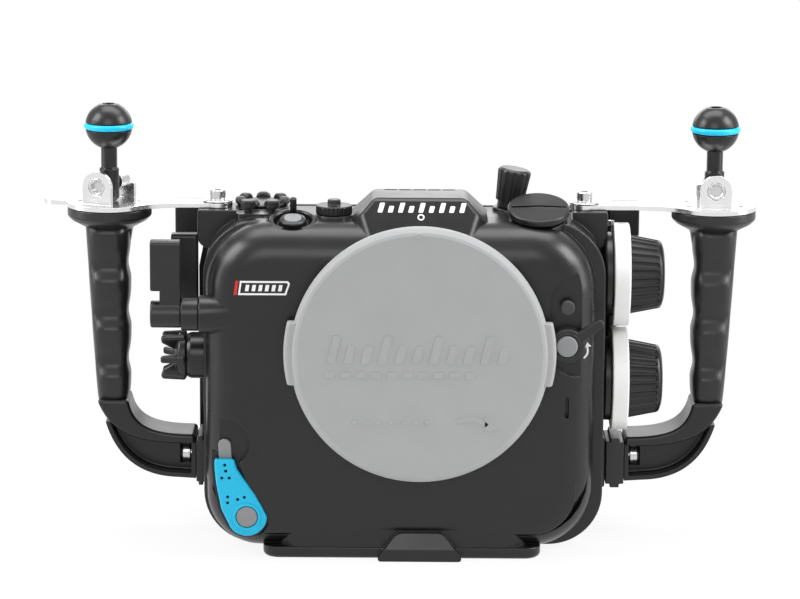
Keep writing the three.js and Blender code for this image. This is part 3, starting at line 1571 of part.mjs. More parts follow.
function addArm(handle) {
  const { side, out } = handle;
  const [front, back] = [-armDepth / 2, armDepth / 2];
  const channel = frontSlab(armShape(armFlange), front - overrun, back - armBackWall, curveSteps);
  const bolt = pointedRight(bore(armBoltRadius, -overrun, armEndWall + overrun)).translate(0, 0, armBoltZ);
  const arm = cut(frontSlab(armShape(0), front, back, curveSteps), channel, bolt);
  addPiece(`${side}_handle_arm`, out < 0 ? arm.scale(-1, 1, 1) : arm, "casting", { at: [armRoot(handle), 0, 0] });
  const padX = [padEnd(handle), padEnd(handle) - out * handle.pad].sort((a, b) => a - b);
  const padLow = armMidZ - padHeight / 2;
  const pad = joined(
    block(padX, [-armDepth / 2, armDepth / 2], [padLow + padStep, padLow + padHeight - padStep]),
    block([padX[0] + handle.pad / 4, padX[1] - handle.pad / 4], [-armDepth / 2, armDepth / 2],
      [padLow, padLow + padHeight]),
  );
  const padBore = pointedRight(bore(armBoltRadius, padX[0] - overrun, padX[1] + overrun))
    .translate(0, 0, armBoltZ);
  addPiece(`${side}_arm_pad`, cut(pad, padBore), "rubber");
  const headStart = armEndWall + seatGap;
  const boltEnd = headStart - armEndWall - handle.pad - 3 * seatGap - armBoltGrip;
  const screw = joined(
    socketScrewHead(armBoltHeadRadius, headStart, armBoltHeadHeight),
    rod(armBoltRadius, boltEnd, headStart + armBoltHeadHeight / 4, smallSides),
  );
  const pointed = out < 0 ? pointedLeft(screw) : pointedRight(screw);
  addPiece(`${side}_arm_bolt`, pointed, "steel", { at: [armRoot(handle), 0, armBoltZ] });
}

// Camera tray, moisture board and battery case

function addInside() {
  const floor = footHeight + bodyWall + seatGap;
  const tray = cut(
    slab(rectangle(trayWidth, trayDepth, traySlotWidth, trayX, trayY), floor, floor + trayThickness),
    slab(rectangle(trayWidth / 2, traySlotWidth, traySlotWidth / 2.2, trayX, trayY), floor - overrun,
      floor + trayThickness + overrun),
  );
  addPiece("camera_tray", tray, "steel");
  const wallX = bodyLeft + bodyWall + seatGap;
  const chipX = [wallX + boardThickness / 2, wallX + boardThickness + chipHeight];
  const chipPitch = boardWidth / 3;
  const chips = [-1, 0, 1].map((step) => block(
    chipX,
    [step * chipPitch - chipSize / 2, step * chipPitch + chipSize / 2],
    [boardZ - chipSize / 2, boardZ + chipSize / 2],
  ));
  const board = joined(
    block([wallX, wallX + boardThickness], [-boardWidth / 2, boardWidth / 2],
      [boardZ - boardHeight / 2, boardZ + boardHeight / 2]),
    ...chips,
  );
  addPiece("moisture_board", board, "board");
  const caseX = bodyRight - bodyWall - seatGap;
  const battery = frontSlab(
    rectangle(batteryThickness, batteryHeight, batteryThickness / 4, caseX - batteryThickness / 2, batteryZ),
    -batteryLength / 2, batteryLength / 2,
  );
  addPiece("battery_case", battery, "moulding");
}

handles.forEach((handle) => {
  addStay(handle);
  addBallStem(handle);
  addGrip(handle);
  addArm(handle);
});
addInside();

export default housing;
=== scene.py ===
# %% [markdown]
# # An underwater camera housing
# The housing is a black cast box with a grey cap over its lens port, two rubber handles and many
# small controls round it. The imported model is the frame: it says where each piece sits and how it
# moves. Here every curved piece is modelled again, finer, over its place in the frame, and every
# piece gets a finish made of shader nodes.

import json
import math

import bmesh
import bpy
from mathutils import Matrix, Vector

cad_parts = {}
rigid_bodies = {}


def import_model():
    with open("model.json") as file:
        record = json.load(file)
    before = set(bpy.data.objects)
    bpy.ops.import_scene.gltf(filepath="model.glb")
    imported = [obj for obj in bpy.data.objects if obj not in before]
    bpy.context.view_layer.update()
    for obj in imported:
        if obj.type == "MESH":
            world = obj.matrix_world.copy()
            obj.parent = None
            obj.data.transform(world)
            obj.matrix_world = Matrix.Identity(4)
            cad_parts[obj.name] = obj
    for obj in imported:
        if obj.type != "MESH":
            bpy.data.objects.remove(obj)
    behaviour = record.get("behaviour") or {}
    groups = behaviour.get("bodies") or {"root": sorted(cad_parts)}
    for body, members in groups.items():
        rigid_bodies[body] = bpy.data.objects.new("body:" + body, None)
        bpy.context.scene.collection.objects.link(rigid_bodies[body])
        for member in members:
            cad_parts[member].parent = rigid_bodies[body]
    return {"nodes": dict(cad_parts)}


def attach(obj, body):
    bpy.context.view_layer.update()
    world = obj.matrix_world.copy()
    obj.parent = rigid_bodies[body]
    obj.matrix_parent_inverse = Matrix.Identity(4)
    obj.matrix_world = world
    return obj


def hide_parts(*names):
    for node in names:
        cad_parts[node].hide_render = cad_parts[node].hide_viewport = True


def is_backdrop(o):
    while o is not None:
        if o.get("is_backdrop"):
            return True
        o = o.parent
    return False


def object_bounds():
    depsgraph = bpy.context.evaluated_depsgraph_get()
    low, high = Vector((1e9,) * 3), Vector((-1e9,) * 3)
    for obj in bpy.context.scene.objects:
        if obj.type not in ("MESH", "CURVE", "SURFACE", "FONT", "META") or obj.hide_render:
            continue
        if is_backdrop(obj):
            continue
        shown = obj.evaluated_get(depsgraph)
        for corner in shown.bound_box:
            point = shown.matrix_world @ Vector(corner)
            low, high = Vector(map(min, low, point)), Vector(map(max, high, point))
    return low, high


for spare in list(bpy.data.objects):
    bpy.data.objects.remove(spare)
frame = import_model()
packed_box = [list(corner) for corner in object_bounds()]

# %% [markdown]
# ## The camera
# A product photo is taken from far away with a long lens, so that near and far parts keep their
# sizes. The ovals of the side knobs and the tops of the handles show that the camera stands a
# little above the housing. One millimetre is a handy unit for this object, so lengths are written
# in millimetres and `mm` turns them to Blender's metres.

# %% Camera
MM = 0.001
camera_distance = 2000
camera_rise = math.radians(12)
camera_roll = math.radians(0.35)
camera_aim = (-6.25, 0, 130.5)
camera_lens = 165.6


def mm(*lengths):
    return Vector(lengths) * MM


camera = bpy.data.objects.new("photo_camera", bpy.data.cameras.new("photo_camera"))
camera.data.lens = camera_lens
camera.data.clip_start = 0.05
back = Vector((0, -math.cos(camera_rise), math.sin(camera_rise)))
camera.matrix_world = (
    Matrix.Translation(mm(*camera_aim) + back * camera_distance * MM)
    @ (-back).to_track_quat("-Z", "Y").to_matrix().to_4x4()
    @ Matrix.Rotation(camera_roll, 4, "Z")
)
bpy.context.collection.objects.link(camera)
bpy.context.scene.camera = camera
bpy.context.scene.view_settings.view_transform = "Standard"
print("camera at", [round(length, 3) for length in camera.location])

# %% [markdown]
# ## The studio
# Black anodised metal shows little colour of its own. What draws its shape are the reflections of
# large soft lights: one on each side gives the bright edges, one above and one high on each side
# give the light on the shoulders, and a large one far in front keeps the face readable. One at the
# back lights the door.

# %% Lamps
soft_lights = {
    "left_shoulder_softbox": ((-760, -200, 700), (420, 420), 5),
    "right_shoulder_softbox": ((760, -200, 700), (420, 420), 6),
    "left_softbox": ((-1000, -100, 250), (300, 700), 2),
    "right_softbox": ((1000, -120, 250), (300, 700), 2.5),
    "top_softbox": ((0, 60, 900), (900, 420), 6),
    "front_softbox": ((-150, -1500, 900), (900, 600), 5),
    "back_softbox": ((0, 900, 500), (1200, 400), 3),
}
for lamp_name, (place, (width, height), power) in soft_lights.items():
    lamp = bpy.data.objects.new(lamp_name, bpy.data.lights.new(lamp_name, "AREA"))
    lamp.data.shape = "RECTANGLE"
    lamp.data.size = width * MM
    lamp.data.size_y = height * MM
    lamp.data.energy = power
    lamp.location = mm(*place)
    lamp.rotation_euler = (mm(*camera_aim) - lamp.location).to_track_quat("-Z", "Y").to_euler()
    bpy.context.collection.objects.link(lamp)
print("lamps", len(soft_lights))

# %% [markdown]
# ## Shader maths
# A finish is easier to read as a formula than as a list of nodes. `Value` wraps a socket, and a
# product of two values adds a Math node. `Finish` holds one material's node tree, and its one
# method `node` makes any other node from its type, its settings and the values of its sockets.

# %% A small language for shader nodes
# The places of the colour sockets on a Mix node, which has one set of sockets per data type
MIX_FACTOR, MIX_FIRST, MIX_SECOND, MIX_RESULT = 0, 6, 7, 2


class Value:
    def __init__(self, finish, socket):
        self.finish = finish
        self.socket = socket

    def __mul__(self, other):
        return self.finish.node("ShaderNodeMath", {"operation": "MULTIPLY"}, {0: self, 1: other})


class Finish:
    def __init__(self, name, **constants):
        self.material = bpy.data.materials.new(name)
        self.material.use_nodes = True
        self.nodes = self.material.node_tree.nodes
        self.links = self.material.node_tree.links
        self.shader = self.nodes["Principled BSDF"]
        for socket, value in constants.items():
            self.shader.inputs[socket.replace("_", " ")].default_value = value

    def node(self, kind, settings=None, sockets=None, out=0):
        made = self.nodes.new(kind)
        for setting, value in (settings or {}).items():
            setattr(made, setting, value)
        for key, value in (sockets or {}).items():
            self.feed(made.inputs[key], value)
        return Value(self, made.outputs[out])

    def feed(self, socket, value):
        if isinstance(value, Value):
            self.links.new(value.socket, socket)
        else:
            socket.default_value = value

    def noise(self, size, detail=3, stretch=(1, 1, 1)):
        place = self.node("ShaderNodeTexCoord", out="Object")
        place = self.node("ShaderNodeMapping", {}, {"Vector": place, "Scale": stretch})
        sockets = {"Vector": place, "Scale": 1 / (size * MM), "Detail": detail}
        return self.node("ShaderNodeTexNoise", {}, sockets)

    def between(self, share, low, high):
        sockets = {"Value": share, "From Min": 0.3, "From Max": 0.7, "To Min": low, "To Max": high}
        return self.node("ShaderNodeMapRange", {"clamp": True}, sockets)

    def blend(self, share, first, second):
        sockets = {MIX_FACTOR: share, MIX_FIRST: (*first, 1), MIX_SECOND: (*second, 1)}
        return self.node("ShaderNodeMix", {"data_type": "RGBA"}, sockets, MIX_RESULT)

    def paint(self, **values):
        for socket, value in values.items():
            self.feed(self.shader.inputs[socket.replace("_", " ")], value)
        return self.material

    def relief(self, height, depth, edge=0.0):
        sockets = {"Height": height, "Distance": depth * MM, "Strength": 1.0}
        if edge:
            sockets["Normal"] = self.node("ShaderNodeBevel", {"samples": 6}, {"Radius": edge * MM})
        return self.node("ShaderNodeBump", {}, sockets)


# %% [markdown]
# ## Black finishes
# The castings are anodised: satin, nearly black, with a grain too fine to see as dots that still
# breaks up the highlights. The moulded controls are a touch greyer and smoother, and the grips are
# rubber, rougher and with a coarser grain. All read the object's own coordinates, so the grain has
# the same size on every piece. Corners that two pieces of metal form get a small rounding from a
# Bevel node, as blasting and anodising leave it.

# %% Black metal, plastic and rubber
def black_finish(name, tone, grain, depth, rough, sheen_level, edge):
    finish = Finish(name, Specular_IOR_Level=sheen_level)
    fine = finish.noise(grain)
    broad = finish.noise(grain * 60, detail=4)
    colour = finish.blend(broad, [tone * 0.8] * 3, [tone * 1.25, tone * 1.25, tone * 1.3])
    roughness = finish.between(broad, rough - 0.04, rough + 0.05)
    return finish.paint(
        Base_Color=colour, Roughness=roughness, Normal=finish.relief(fine, depth, edge)
    )


cast_black = black_finish("anodised_black", 0.0085, 0.35, 0.008, 0.30, 0.42, 0.7)
moulded_black = black_finish("moulded_black", 0.012, 0.3, 0.008, 0.34, 0.42, 0.4)
grip_rubber = black_finish("grip_rubber", 0.012, 0.5, 0.02, 0.34, 0.45, 0.0)
seal_rubber = black_finish("seal_rubber", 0.015, 0.4, 0.010, 0.5, 0.35, 0.0)
# shadow_black is painted shade: a near-black dull finish for the plugs that darken the bottoms of the latch's
# drilled holes.
hole_shade_black = black_finish("shadow_black", 0.006, 0.4, 0.010, 0.6, 0.2, 0.0)

# %% [markdown]
# ## Coloured plastic
# Cap, latch, buttons and rings are moulded in their colour. Moulded plastic is even but never
# perfect: a broad cloud of a few per cent in colour and gloss, and the fine grain of the mould.

# %% Moulded plastic in colours
def plastic(name, colour, rough, grain=0.3, depth=0.006, level=0.4, edge=0.3):
    finish = Finish(name, Specular_IOR_Level=level)
    fine = finish.noise(grain)
    broad = finish.noise(18, detail=3)
    shade = finish.blend(broad, [c * 0.95 for c in colour], [c * 1.04 for c in colour])
    roughness = finish.between(broad, rough - 0.04, rough + 0.04)
    return finish.paint(Base_Color=shade, Roughness=roughness, Normal=finish.relief(fine, depth, edge))


cap_grey = plastic("cap_grey", (0.36, 0.362, 0.366), 0.55, grain=0.4, depth=0.012, level=0.3)
button_grey = plastic("button_grey", (0.24, 0.243, 0.248), 0.5)
dark_grey = plastic("dark_grey", (0.045, 0.045, 0.046), 0.5)
latch_blue = plastic("latch_blue", (0.003, 0.46, 0.72), 0.42)
ring_blue = plastic("ring_blue", (0.005, 0.52, 0.80), 0.38)
ring_white = plastic("ring_white", (0.80, 0.80, 0.79), 0.35)
print_white = plastic("print_white", (0.85, 0.85, 0.84), 0.5, edge=0)
print_red = plastic("print_red", (0.62, 0.02, 0.015), 0.5, edge=0)
board_green = plastic("board_green", (0.02, 0.11, 0.05), 0.3)

# %% [markdown]
# ## Stainless steel
# The stays and screws are polished stainless sheet and bar. It mirrors the white studio, and the
# polishing leaves hair lines along the sheet, so the roughness follows a noise that is stretched a
# long way in one direction.

# %% Steel, aluminium and the clear window
def steel_finish(name, tone, rough, stretch):
    finish = Finish(name, Metallic=1.0)
    lines = finish.noise(0.5, detail=2, stretch=stretch)
    broad = finish.noise(9, detail=2)
    colour = finish.blend(broad, [tone * 0.92] * 3, [tone * 1.05] * 3)
    roughness = finish.between(lines, rough * 0.6, rough * 1.5)
    return finish.paint(Base_Color=colour, Roughness=roughness, Normal=finish.relief(lines, 0.004, 0.25))


sheet_steel = steel_finish("polished_sheet", 0.80, 0.2, (0.06, 1, 1))
screw_steel = steel_finish("turned_steel", 0.62, 0.24, (1, 1, 0.3))
tray_metal = steel_finish("anodised_tray", 0.30, 0.45, (1, 0.1, 1))
window_clear = plastic("window_acrylic", (0.012, 0.014, 0.016), 0.08, level=0.5, edge=0)

# %% [markdown]
# ## Floor and background
# The object stands on a seamless white table. Rays that reach the camera, directly or over metal and
# glass, see it white, while the light that it gives back to the object stays moderate, so that the
# black parts keep their depth.

# %% Backdrop
def seen_white(tree, ordinary, white):
    path = tree.nodes.new("ShaderNodeLightPath")
    reach = path.outputs["Is Camera Ray"]
    for ray in ("Is Glossy Ray", "Is Transmission Ray"):
        larger = tree.nodes.new("ShaderNodeMath")
        larger.operation = "MAXIMUM"
        tree.links.new(reach, larger.inputs[0])
        tree.links.new(path.outputs[ray], larger.inputs[1])
        reach = larger.outputs[0]
    mix = tree.nodes.new("ShaderNodeMixShader")
    tree.links.new(reach, mix.inputs[0])
    tree.links.new(ordinary.outputs[0], mix.inputs[1])
    tree.links.new(white.outputs[0], mix.inputs[2])
    return mix


world = bpy.data.worlds.new("white_studio")
bpy.context.scene.world = world
world.use_nodes = True
ambient = world.node_tree.nodes["Background"]
ambient.inputs["Color"].default_value = (1, 1, 1, 1)
ambient.inputs["Strength"].default_value = 0.24
clean_white = world.node_tree.nodes.new("ShaderNodeBackground")
clean_white.inputs["Strength"].default_value = 1.0
seen = seen_white(world.node_tree, ambient, clean_white)
world.node_tree.links.new(seen.outputs[0], world.node_tree.nodes["World Output"].inputs[0])

floor_finish = Finish("white_table", Roughness=0.6, Specular_IOR_Level=0.1)
floor_finish.paint(Base_Color=floor_finish.blend(floor_finish.noise(300), (0.90,) * 3, (0.94,) * 3))
table_white = floor_finish.nodes.new("ShaderNodeEmission")
table_seen = seen_white(floor_finish.material.node_tree, floor_finish.shader, table_white)
place = floor_finish.node("ShaderNodeTexCoord", out="Object")
distance = floor_finish.node("ShaderNodeVectorMath", {"operation": "LENGTH"}, {0: place}, out=1)
sockets = {"Value": distance, "From Min": 0.15, "From Max": 0.42, "To Min": 0.9, "To Max": 1.0}
whiteness = floor_finish.node("ShaderNodeMapRange", {"clamp": True}, sockets)
reach = Value(floor_finish, table_seen.inputs[0].links[0].from_socket)
floor_finish.feed(table_seen.inputs[0], reach * whiteness)
table_out = floor_finish.nodes["Material Output"]
floor_finish.links.new(table_seen.outputs[0], table_out.inputs["Surface"])
bpy.ops.object.select_all(action="DESELECT")
bpy.ops.mesh.primitive_plane_add(size=12, location=(0, 0, 0))
table = bpy.context.object
table.name = "studio_table"
table.data.materials.append(floor_finish.material)
table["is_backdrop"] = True
print("world and table made")

# %% [markdown]
# ## Working by hand, in code
# These helpers are the moves of a modeller at the keyboard. `draw` puts down one vertex and extrudes
# it from point to point. `plate` fills such a line and extrudes it to a thickness. `turned` spins a
# profile round an axis, as on a lathe. `choose` selects faces by their place and normal, which is
# what a click does.

# %% Select, draw and round
def only(*pieces):
    if bpy.context.mode != "OBJECT":
        bpy.ops.object.mode_set(mode="OBJECT")
    bpy.ops.object.select_all(action="DESELECT")
    for piece in pieces:
        piece.select_set(True)
    bpy.context.view_layer.objects.active = pieces[0]
    return pieces[0]


def edit(piece, mode="VERT"):
    only(piece)
    bpy.ops.object.mode_set(mode="EDIT")
    bpy.ops.mesh.select_mode(type=mode)
    return piece


def leave():
    piece = bpy.context.edit_object
    bpy.ops.object.mode_set(mode="OBJECT")
    return piece


def choose(test):
    mesh = bmesh.from_edit_mesh(bpy.context.edit_object.data)
    bpy.ops.mesh.select_all(action="DESELECT")
    for face in mesh.faces:
        if test(face.calc_center_median() / MM, face.normal):
            face.select_set(True)
    bmesh.update_edit_mesh(bpy.context.edit_object.data)


def tidy():
    bpy.ops.mesh.select_all(action="SELECT")
    bpy.ops.mesh.remove_doubles(threshold=0.002 * MM)
    bpy.ops.mesh.normals_make_consistent(inside=False)


def draw(name, points):
    bpy.ops.object.select_all(action="DESELECT")
    bpy.ops.mesh.primitive_plane_add(size=MM, location=mm(*points[0]))
    piece = bpy.context.object
    piece.name = name
    bpy.ops.object.transform_apply(location=True, rotation=True, scale=True)
    edit(piece)
    bpy.ops.mesh.select_all(action="SELECT")
    bpy.ops.mesh.merge(type="CENTER")
    for before, after in zip(points, points[1:]):
        step = mm(*after) - mm(*before)
        bpy.ops.mesh.extrude_region_move(TRANSFORM_OT_translate={"value": step})
    return piece


def rounded(corners, steps=6):
    """Corners are (x, z) or (x, z, radius); each radius becomes an arc of short steps."""
    points = []
    for index, corner in enumerate(corners):
        here = Vector(corner[:2])
        radius = corner[2] if len(corner) > 2 else 0
        if not radius:
            points.append(tuple(here))
            continue
        before = (Vector(corners[index - 1][:2]) - here).normalized()
        after = (Vector(corners[(index + 1) % len(corners)][:2]) - here).normalized()
        half = before.angle(after) / 2
        centre = here + (before + after).normalized() * (radius / math.sin(half))
        start = here + before * (radius / math.tan(half)) - centre
        end = here + after * (radius / math.tan(half)) - centre
        sweep = start.angle_signed(end)
        for step in range(steps + 1):
            turn = Matrix.Rotation(-sweep * step / steps, 2)
            points.append(tuple(centre + turn @ start))
    return points


# %% [markdown]
# Nearly every piece starts as one of four shapes: a plate, a turned piece, a bar or a brick.

# %% Plates, turned pieces, bars
def box_line(left, right, low, top, low_round=0, top_round=None):
    """Four corners of a box outline, with one radius for all or one for its low and its top pair."""
    top_round = low_round if top_round is None else top_round
    return [(left, low, low_round), (right, low, low_round), (right, top, top_round), (left, top, top_round)]


def plate(name, corners, near, far, plane="front", steps=6):
    """An outline seen from the front (x, z), the side (y, z) or the top (x, y), from near to far."""
    put = {
        "front": lambda a, b, depth: (a, depth, b),
        "side": lambda a, b, depth: (depth, a, b),
        "top": lambda a, b, depth: (a, b, depth),
    }[plane]
    outline = rounded(corners, steps)
    piece = draw(name, [put(a, b, near) for a, b in outline])
    bpy.ops.mesh.select_all(action="SELECT")
    bpy.ops.mesh.edge_face_add()
    depth = mm(*put(0, 0, far)) - mm(*put(0, 0, near))
    bpy.ops.mesh.extrude_region_move(TRANSFORM_OT_translate={"value": depth})
    tidy()
    return leave()


def turned(name, profile, at=(0, 0, 0), axis=(0, 0, 1), steps=64, rounding=5):
    """The profile's corners are (radius, distance along the axis, corner radius)."""
    axis = Vector(axis).normalized()
    side = Vector((0, 0, 1)) if abs(axis.z) < 0.5 else Vector((1, 0, 0))
    side = (side - axis * side.dot(axis)).normalized()
    line = rounded(profile, rounding)
    piece = draw(name, [Vector(at) + axis * along + side * radius for radius, along in line])
    bpy.ops.mesh.select_all(action="SELECT")
    bpy.ops.mesh.spin(steps=steps, angle=2 * math.pi, center=mm(*at), axis=axis)
    tidy()
    return leave()


def bar(name, at, axis, radius, start, end, round_off=0.4, steps=32):
    profile = [(0, start), (radius, start, round_off), (radius, end, round_off), (0, end)]
    return turned(name, profile, at, axis, steps, rounding=3)


def brick(name, low, high, rounding=0, segments=4):
    bpy.ops.object.select_all(action="DESELECT")
    centre = (Vector(low) + Vector(high)) / 2
    bpy.ops.mesh.primitive_cube_add(size=1, location=mm(*centre))
    piece = bpy.context.object
    piece.name = name
    piece.scale = mm(*(Vector(high) - Vector(low)))
    bpy.ops.object.transform_apply(location=True, rotation=True, scale=True)
    if rounding:
        round_edges(piece, rounding, segments)
    return piece


# %% [markdown]
# Pieces are welded and cut with the MANIFOLD solver. It takes closed pieces only, and always gives
# a closed piece back, also where faces lie flush, so that every run makes the same shape.

# %% Finish with modifiers
def apply(piece, kind, **settings):
    only(piece)
    modifier = piece.modifiers.new(kind.lower(), kind)
    for setting, value in settings.items():
        setattr(modifier, setting, value)
    bpy.ops.object.modifier_apply(modifier=modifier.name)
    return piece


def round_edges(piece, width, segments=3, angle=40):
    settings = {"limit_method": "ANGLE", "angle_limit": math.radians(angle)}
    settings |= {"width": width * MM, "segments": segments, "use_clamp_overlap": True}
    return apply(piece, "BEVEL", **settings)


def combine(piece, tools, operation):
    for tool in tools:
        apply(piece, "BOOLEAN", operation=operation, solver="MANIFOLD", object=tool)
        bpy.data.objects.remove(tool)
    return piece


def cut(piece, *tools):
    return combine(piece, tools, "DIFFERENCE")


def weld(piece, *tools):
    return combine(piece, tools, "UNION")


def gather(name, pieces):
    only(*pieces)
    if len(pieces) > 1:
        bpy.ops.object.join()
    whole = bpy.context.object
    whole.name = name
    return whole


def move(piece, place):
    only(piece)
    piece.matrix_world = place @ piece.matrix_world
    bpy.ops.object.transform_apply(location=True, rotation=True, scale=True)
    return piece


def about(at, axis, degrees):
    place = Matrix.Translation(mm(*at))
    return place @ Matrix.Rotation(math.radians(degrees), 4, Vector(axis)) @ place.inverted()


def copied(piece, name):
    only(piece)
    bpy.ops.object.duplicate(linked=False)
    bpy.context.object.name = name
    return bpy.context.object


def ring_of(piece, count, at, axis, sweep=360):
    """Copies of a piece, evenly spread round an axis, the first one in its place."""
    copies = [piece]
    for step in range(1, count):
        twin = copied(piece, f"{piece.name}_{step}")
        copies.append(move(twin, about(at, axis, sweep * step / count)))
    return copies


def smooth(piece, angle=32):
    only(piece)
    bpy.ops.object.shade_smooth_by_angle(angle=math.radians(angle))
    return apply(piece, "WEIGHTED_NORMAL", keep_sharp=True)


def dress(piece, finish, body, *nodes, slot=None, angle=32):
    smooth(piece, angle)
    piece.data.materials.clear()
    piece.data.materials.append(finish)
    if nodes:
        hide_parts(*nodes)
    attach(piece, body)
    print(piece.name, len(piece.data.polygons), "faces")
    return piece


def refined(node, finish, body, edge=0.3, segments=2, angle=32):
    """A merged copy of a frame piece with its flat faces joined and its edges rounded."""
    piece = copied(frame["nodes"][node], node + "_fine")
    only(piece)
    bpy.ops.object.parent_clear(type="CLEAR_KEEP_TRANSFORM")
    bpy.ops.object.transform_apply(location=True, rotation=True, scale=True)
    edit(piece)
    tidy()
    bpy.ops.mesh.dissolve_limited(angle_limit=math.radians(0.5))
    leave()
    if edge:
        round_edges(piece, edge, segments, angle)
    return dress(piece, finish, body, node, angle=angle)


# %% [markdown]
# ## The front shell
# The real shell is cast aluminium, milled and anodised. A caster thinks of it as a deep tray: one
# outline with round corners is pulled out to a block, its back face is inset by the wall and pushed
# in, and the rim of its front face gets a large round edge. That order keeps the wall even.

# %% A tray with round corners
BODY_LEFT, BODY_RIGHT, BODY_LOW, BODY_TOP = -110, 98, 9.5, 180.5
BODY_FRONT, BODY_BACK, WALL = -56, 30, 7
DECK = 181.5

FRONT_ROUND, CORNER_ROUND, CORNER_STEPS = 20, 35, 14
RIM_INSET, RIM_DEPTH = 3.1, 2.4
FALL_START, FALL_NORMAL = 8, (0, 2.5, 26)


def round_front(piece):
    """Gives the rim of the front face its large round edge, in Edit Mode."""
    choose(lambda centre, normal: normal.y < -0.9 and centre.y < BODY_FRONT + 1)
    bpy.ops.mesh.region_to_loop()
    bpy.ops.mesh.bevel(offset=FRONT_ROUND * MM, segments=12, affect="EDGES")
    return leave()


body_line = box_line(BODY_LEFT, BODY_RIGHT, BODY_LOW, BODY_TOP, CORNER_ROUND)
shell = plate("front_shell_fine", body_line, BODY_FRONT, BODY_BACK, steps=CORNER_STEPS)
edit(shell, "FACE")
choose(lambda centre, normal: normal.y > 0.9)
bpy.ops.mesh.inset(thickness=WALL * MM)
bpy.ops.mesh.extrude_region_move(TRANSFORM_OT_translate={"value": mm(0, BODY_FRONT + WALL - BODY_BACK, 0)})
choose(lambda centre, normal: normal.y > 0.9 and centre.y > BODY_BACK - 1)
bpy.ops.mesh.inset(thickness=RIM_INSET * MM)
bpy.ops.mesh.extrude_region_move(TRANSFORM_OT_translate={"value": mm(0, -RIM_DEPTH, 0)})
round_front(shell)


def trim(piece, at, normal):
    edit(piece)
    bpy.ops.mesh.select_all(action="SELECT")
    bpy.ops.mesh.bisect(plane_co=mm(*at), plane_no=normal, use_fill=True, clear_outer=True)
    tidy()
    return leave()


trim(shell, (0, FALL_START, BODY_TOP), FALL_NORMAL)
print("tray", [round(length, 3) for length in shell.dimensions])

# %% [markdown]
# The hump over the viewfinder is a roof: one outline seen from the front, pulled back over the
# housing, with its front sliced off along a slope and its two front corners sliced along the sides.
# A foot with a nose carries the housing, and a chin and a belt fill out the tray. Each of them is
# beveled by itself and then welded on.

# %% Hump, foot and latch corner
HUMP_X, HUMP_TOP = 4, 193.5
hump_line = [(-35, 150), (43, 150), (43, 177.5), (28.5, HUMP_TOP), (-20.5, HUMP_TOP), (-35, 177.5)]
hump = plate("hump", hump_line, -53.5, 30)
trim(hump, (HUMP_X, -38, HUMP_TOP), (0, -0.80, 0.60))
trim(hump, (HUMP_X, -9, HUMP_TOP), (0, 15.5, 43))
for side in (-1, 1):
    trim(hump, (HUMP_X + side * 24.5, -53.5, BODY_TOP), (side * 0.80, -0.58, 0.15))
round_edges(hump, 4.5, 5, 20)


def sole(name, low, high, corner, top_round, bottom_round):
    """A flat block with round corners seen from above, its top and bottom rims rounded apart."""
    line = box_line(low[0], high[0], low[1], high[1], corner, 3)
    block = plate(name, line, low[2], high[2], "top", steps=8)
    for level, width in ((high[2], top_round), (low[2], bottom_round)):
        edit(block, "FACE")
        choose(lambda centre, normal: abs(normal.z) > 0.9 and abs(centre.z - level) < 0.1)
        bpy.ops.mesh.region_to_loop()
        bpy.ops.mesh.bevel(offset=width * MM, segments=4, affect="EDGES")
        leave()
    return block


footing = sole("footing", (-79, -55.4, 0), (70, 27, 6.4), 9, 0.9, 2.6)
skirt = sole("skirt", (-72, -54.4, 3), (64, 24, 24), 14, 1, 0.5)
nose = plate("nose", [(-19, 0, 1.5), (29, 0, 1.5), (17, 15, 6), (-7, 15, 6)], -61, -30)
trim(nose, (5, -61, 6.5), (0, -0.92, 0.39))
round_edges(nose, 2.8, 5, 20)

# The chin carries the round front further down, and the belt makes the walls behind it wider. Both
# are hollow, so that they stay out of the tray.
room = box_line(BODY_LEFT + 3, BODY_RIGHT - 3, 12.5, 177, 32)
chin = plate("chin", [(-109.5, 3.5, 29), (98, 3.5, 34), (98, 70), (-109.5, 70)],
             BODY_FRONT - 0.02, 22, steps=CORNER_STEPS)
edit(chin, "FACE")
cut(round_front(chin), plate("chin_room", room, -53, 40))
BELT_TOP = 180.2
belt = plate("belt", box_line(-111.4, 103.6, 2.5, BELT_TOP, 29, 30), -34, 24, steps=CORNER_STEPS)
trim(belt, (0, FALL_START, BELT_TOP), FALL_NORMAL)
cut(round_edges(belt, 1.2, 3), plate("belt_room", room, -53, 40))
print("hump and foot")

# %% [markdown]
# A boss is a thickening that gives a shaft or a screw enough metal. The places of the shafts are
# named here once, because the controls on them are turned round the same axes later.

# %% Bosses and blocks that carry the controls
FORWARD, BACKWARD, UPWARD, SIDEWAYS = (0, -1, 0), (0, 1, 0), (0, 0, 1), (1, 0, 0)
PIVOT = Vector((-87.4, 23.6))
SHUTTER_AXLE, RECORD_AXLE = (0, -45.5, 131.5), (0, 3, 122)
MODE, TOP_DIAL = (-81, 6, 0), (-41.8, -20, 0)


def arc(centre, radius, first, last, steps=16):
    angles = [math.radians(first + (last - first) * step / steps) for step in range(steps + 1)]
    return [(centre[0] + radius * math.cos(a), centre[1] + radius * math.sin(a)) for a in angles]


def mirrored(side, points):
    """Points measured outwards from the side wall of the housing, as (x, z)."""
    base = BODY_LEFT if side < 0 else BODY_RIGHT
    return [(base + side * point[0], *point[1:]) for point in points]


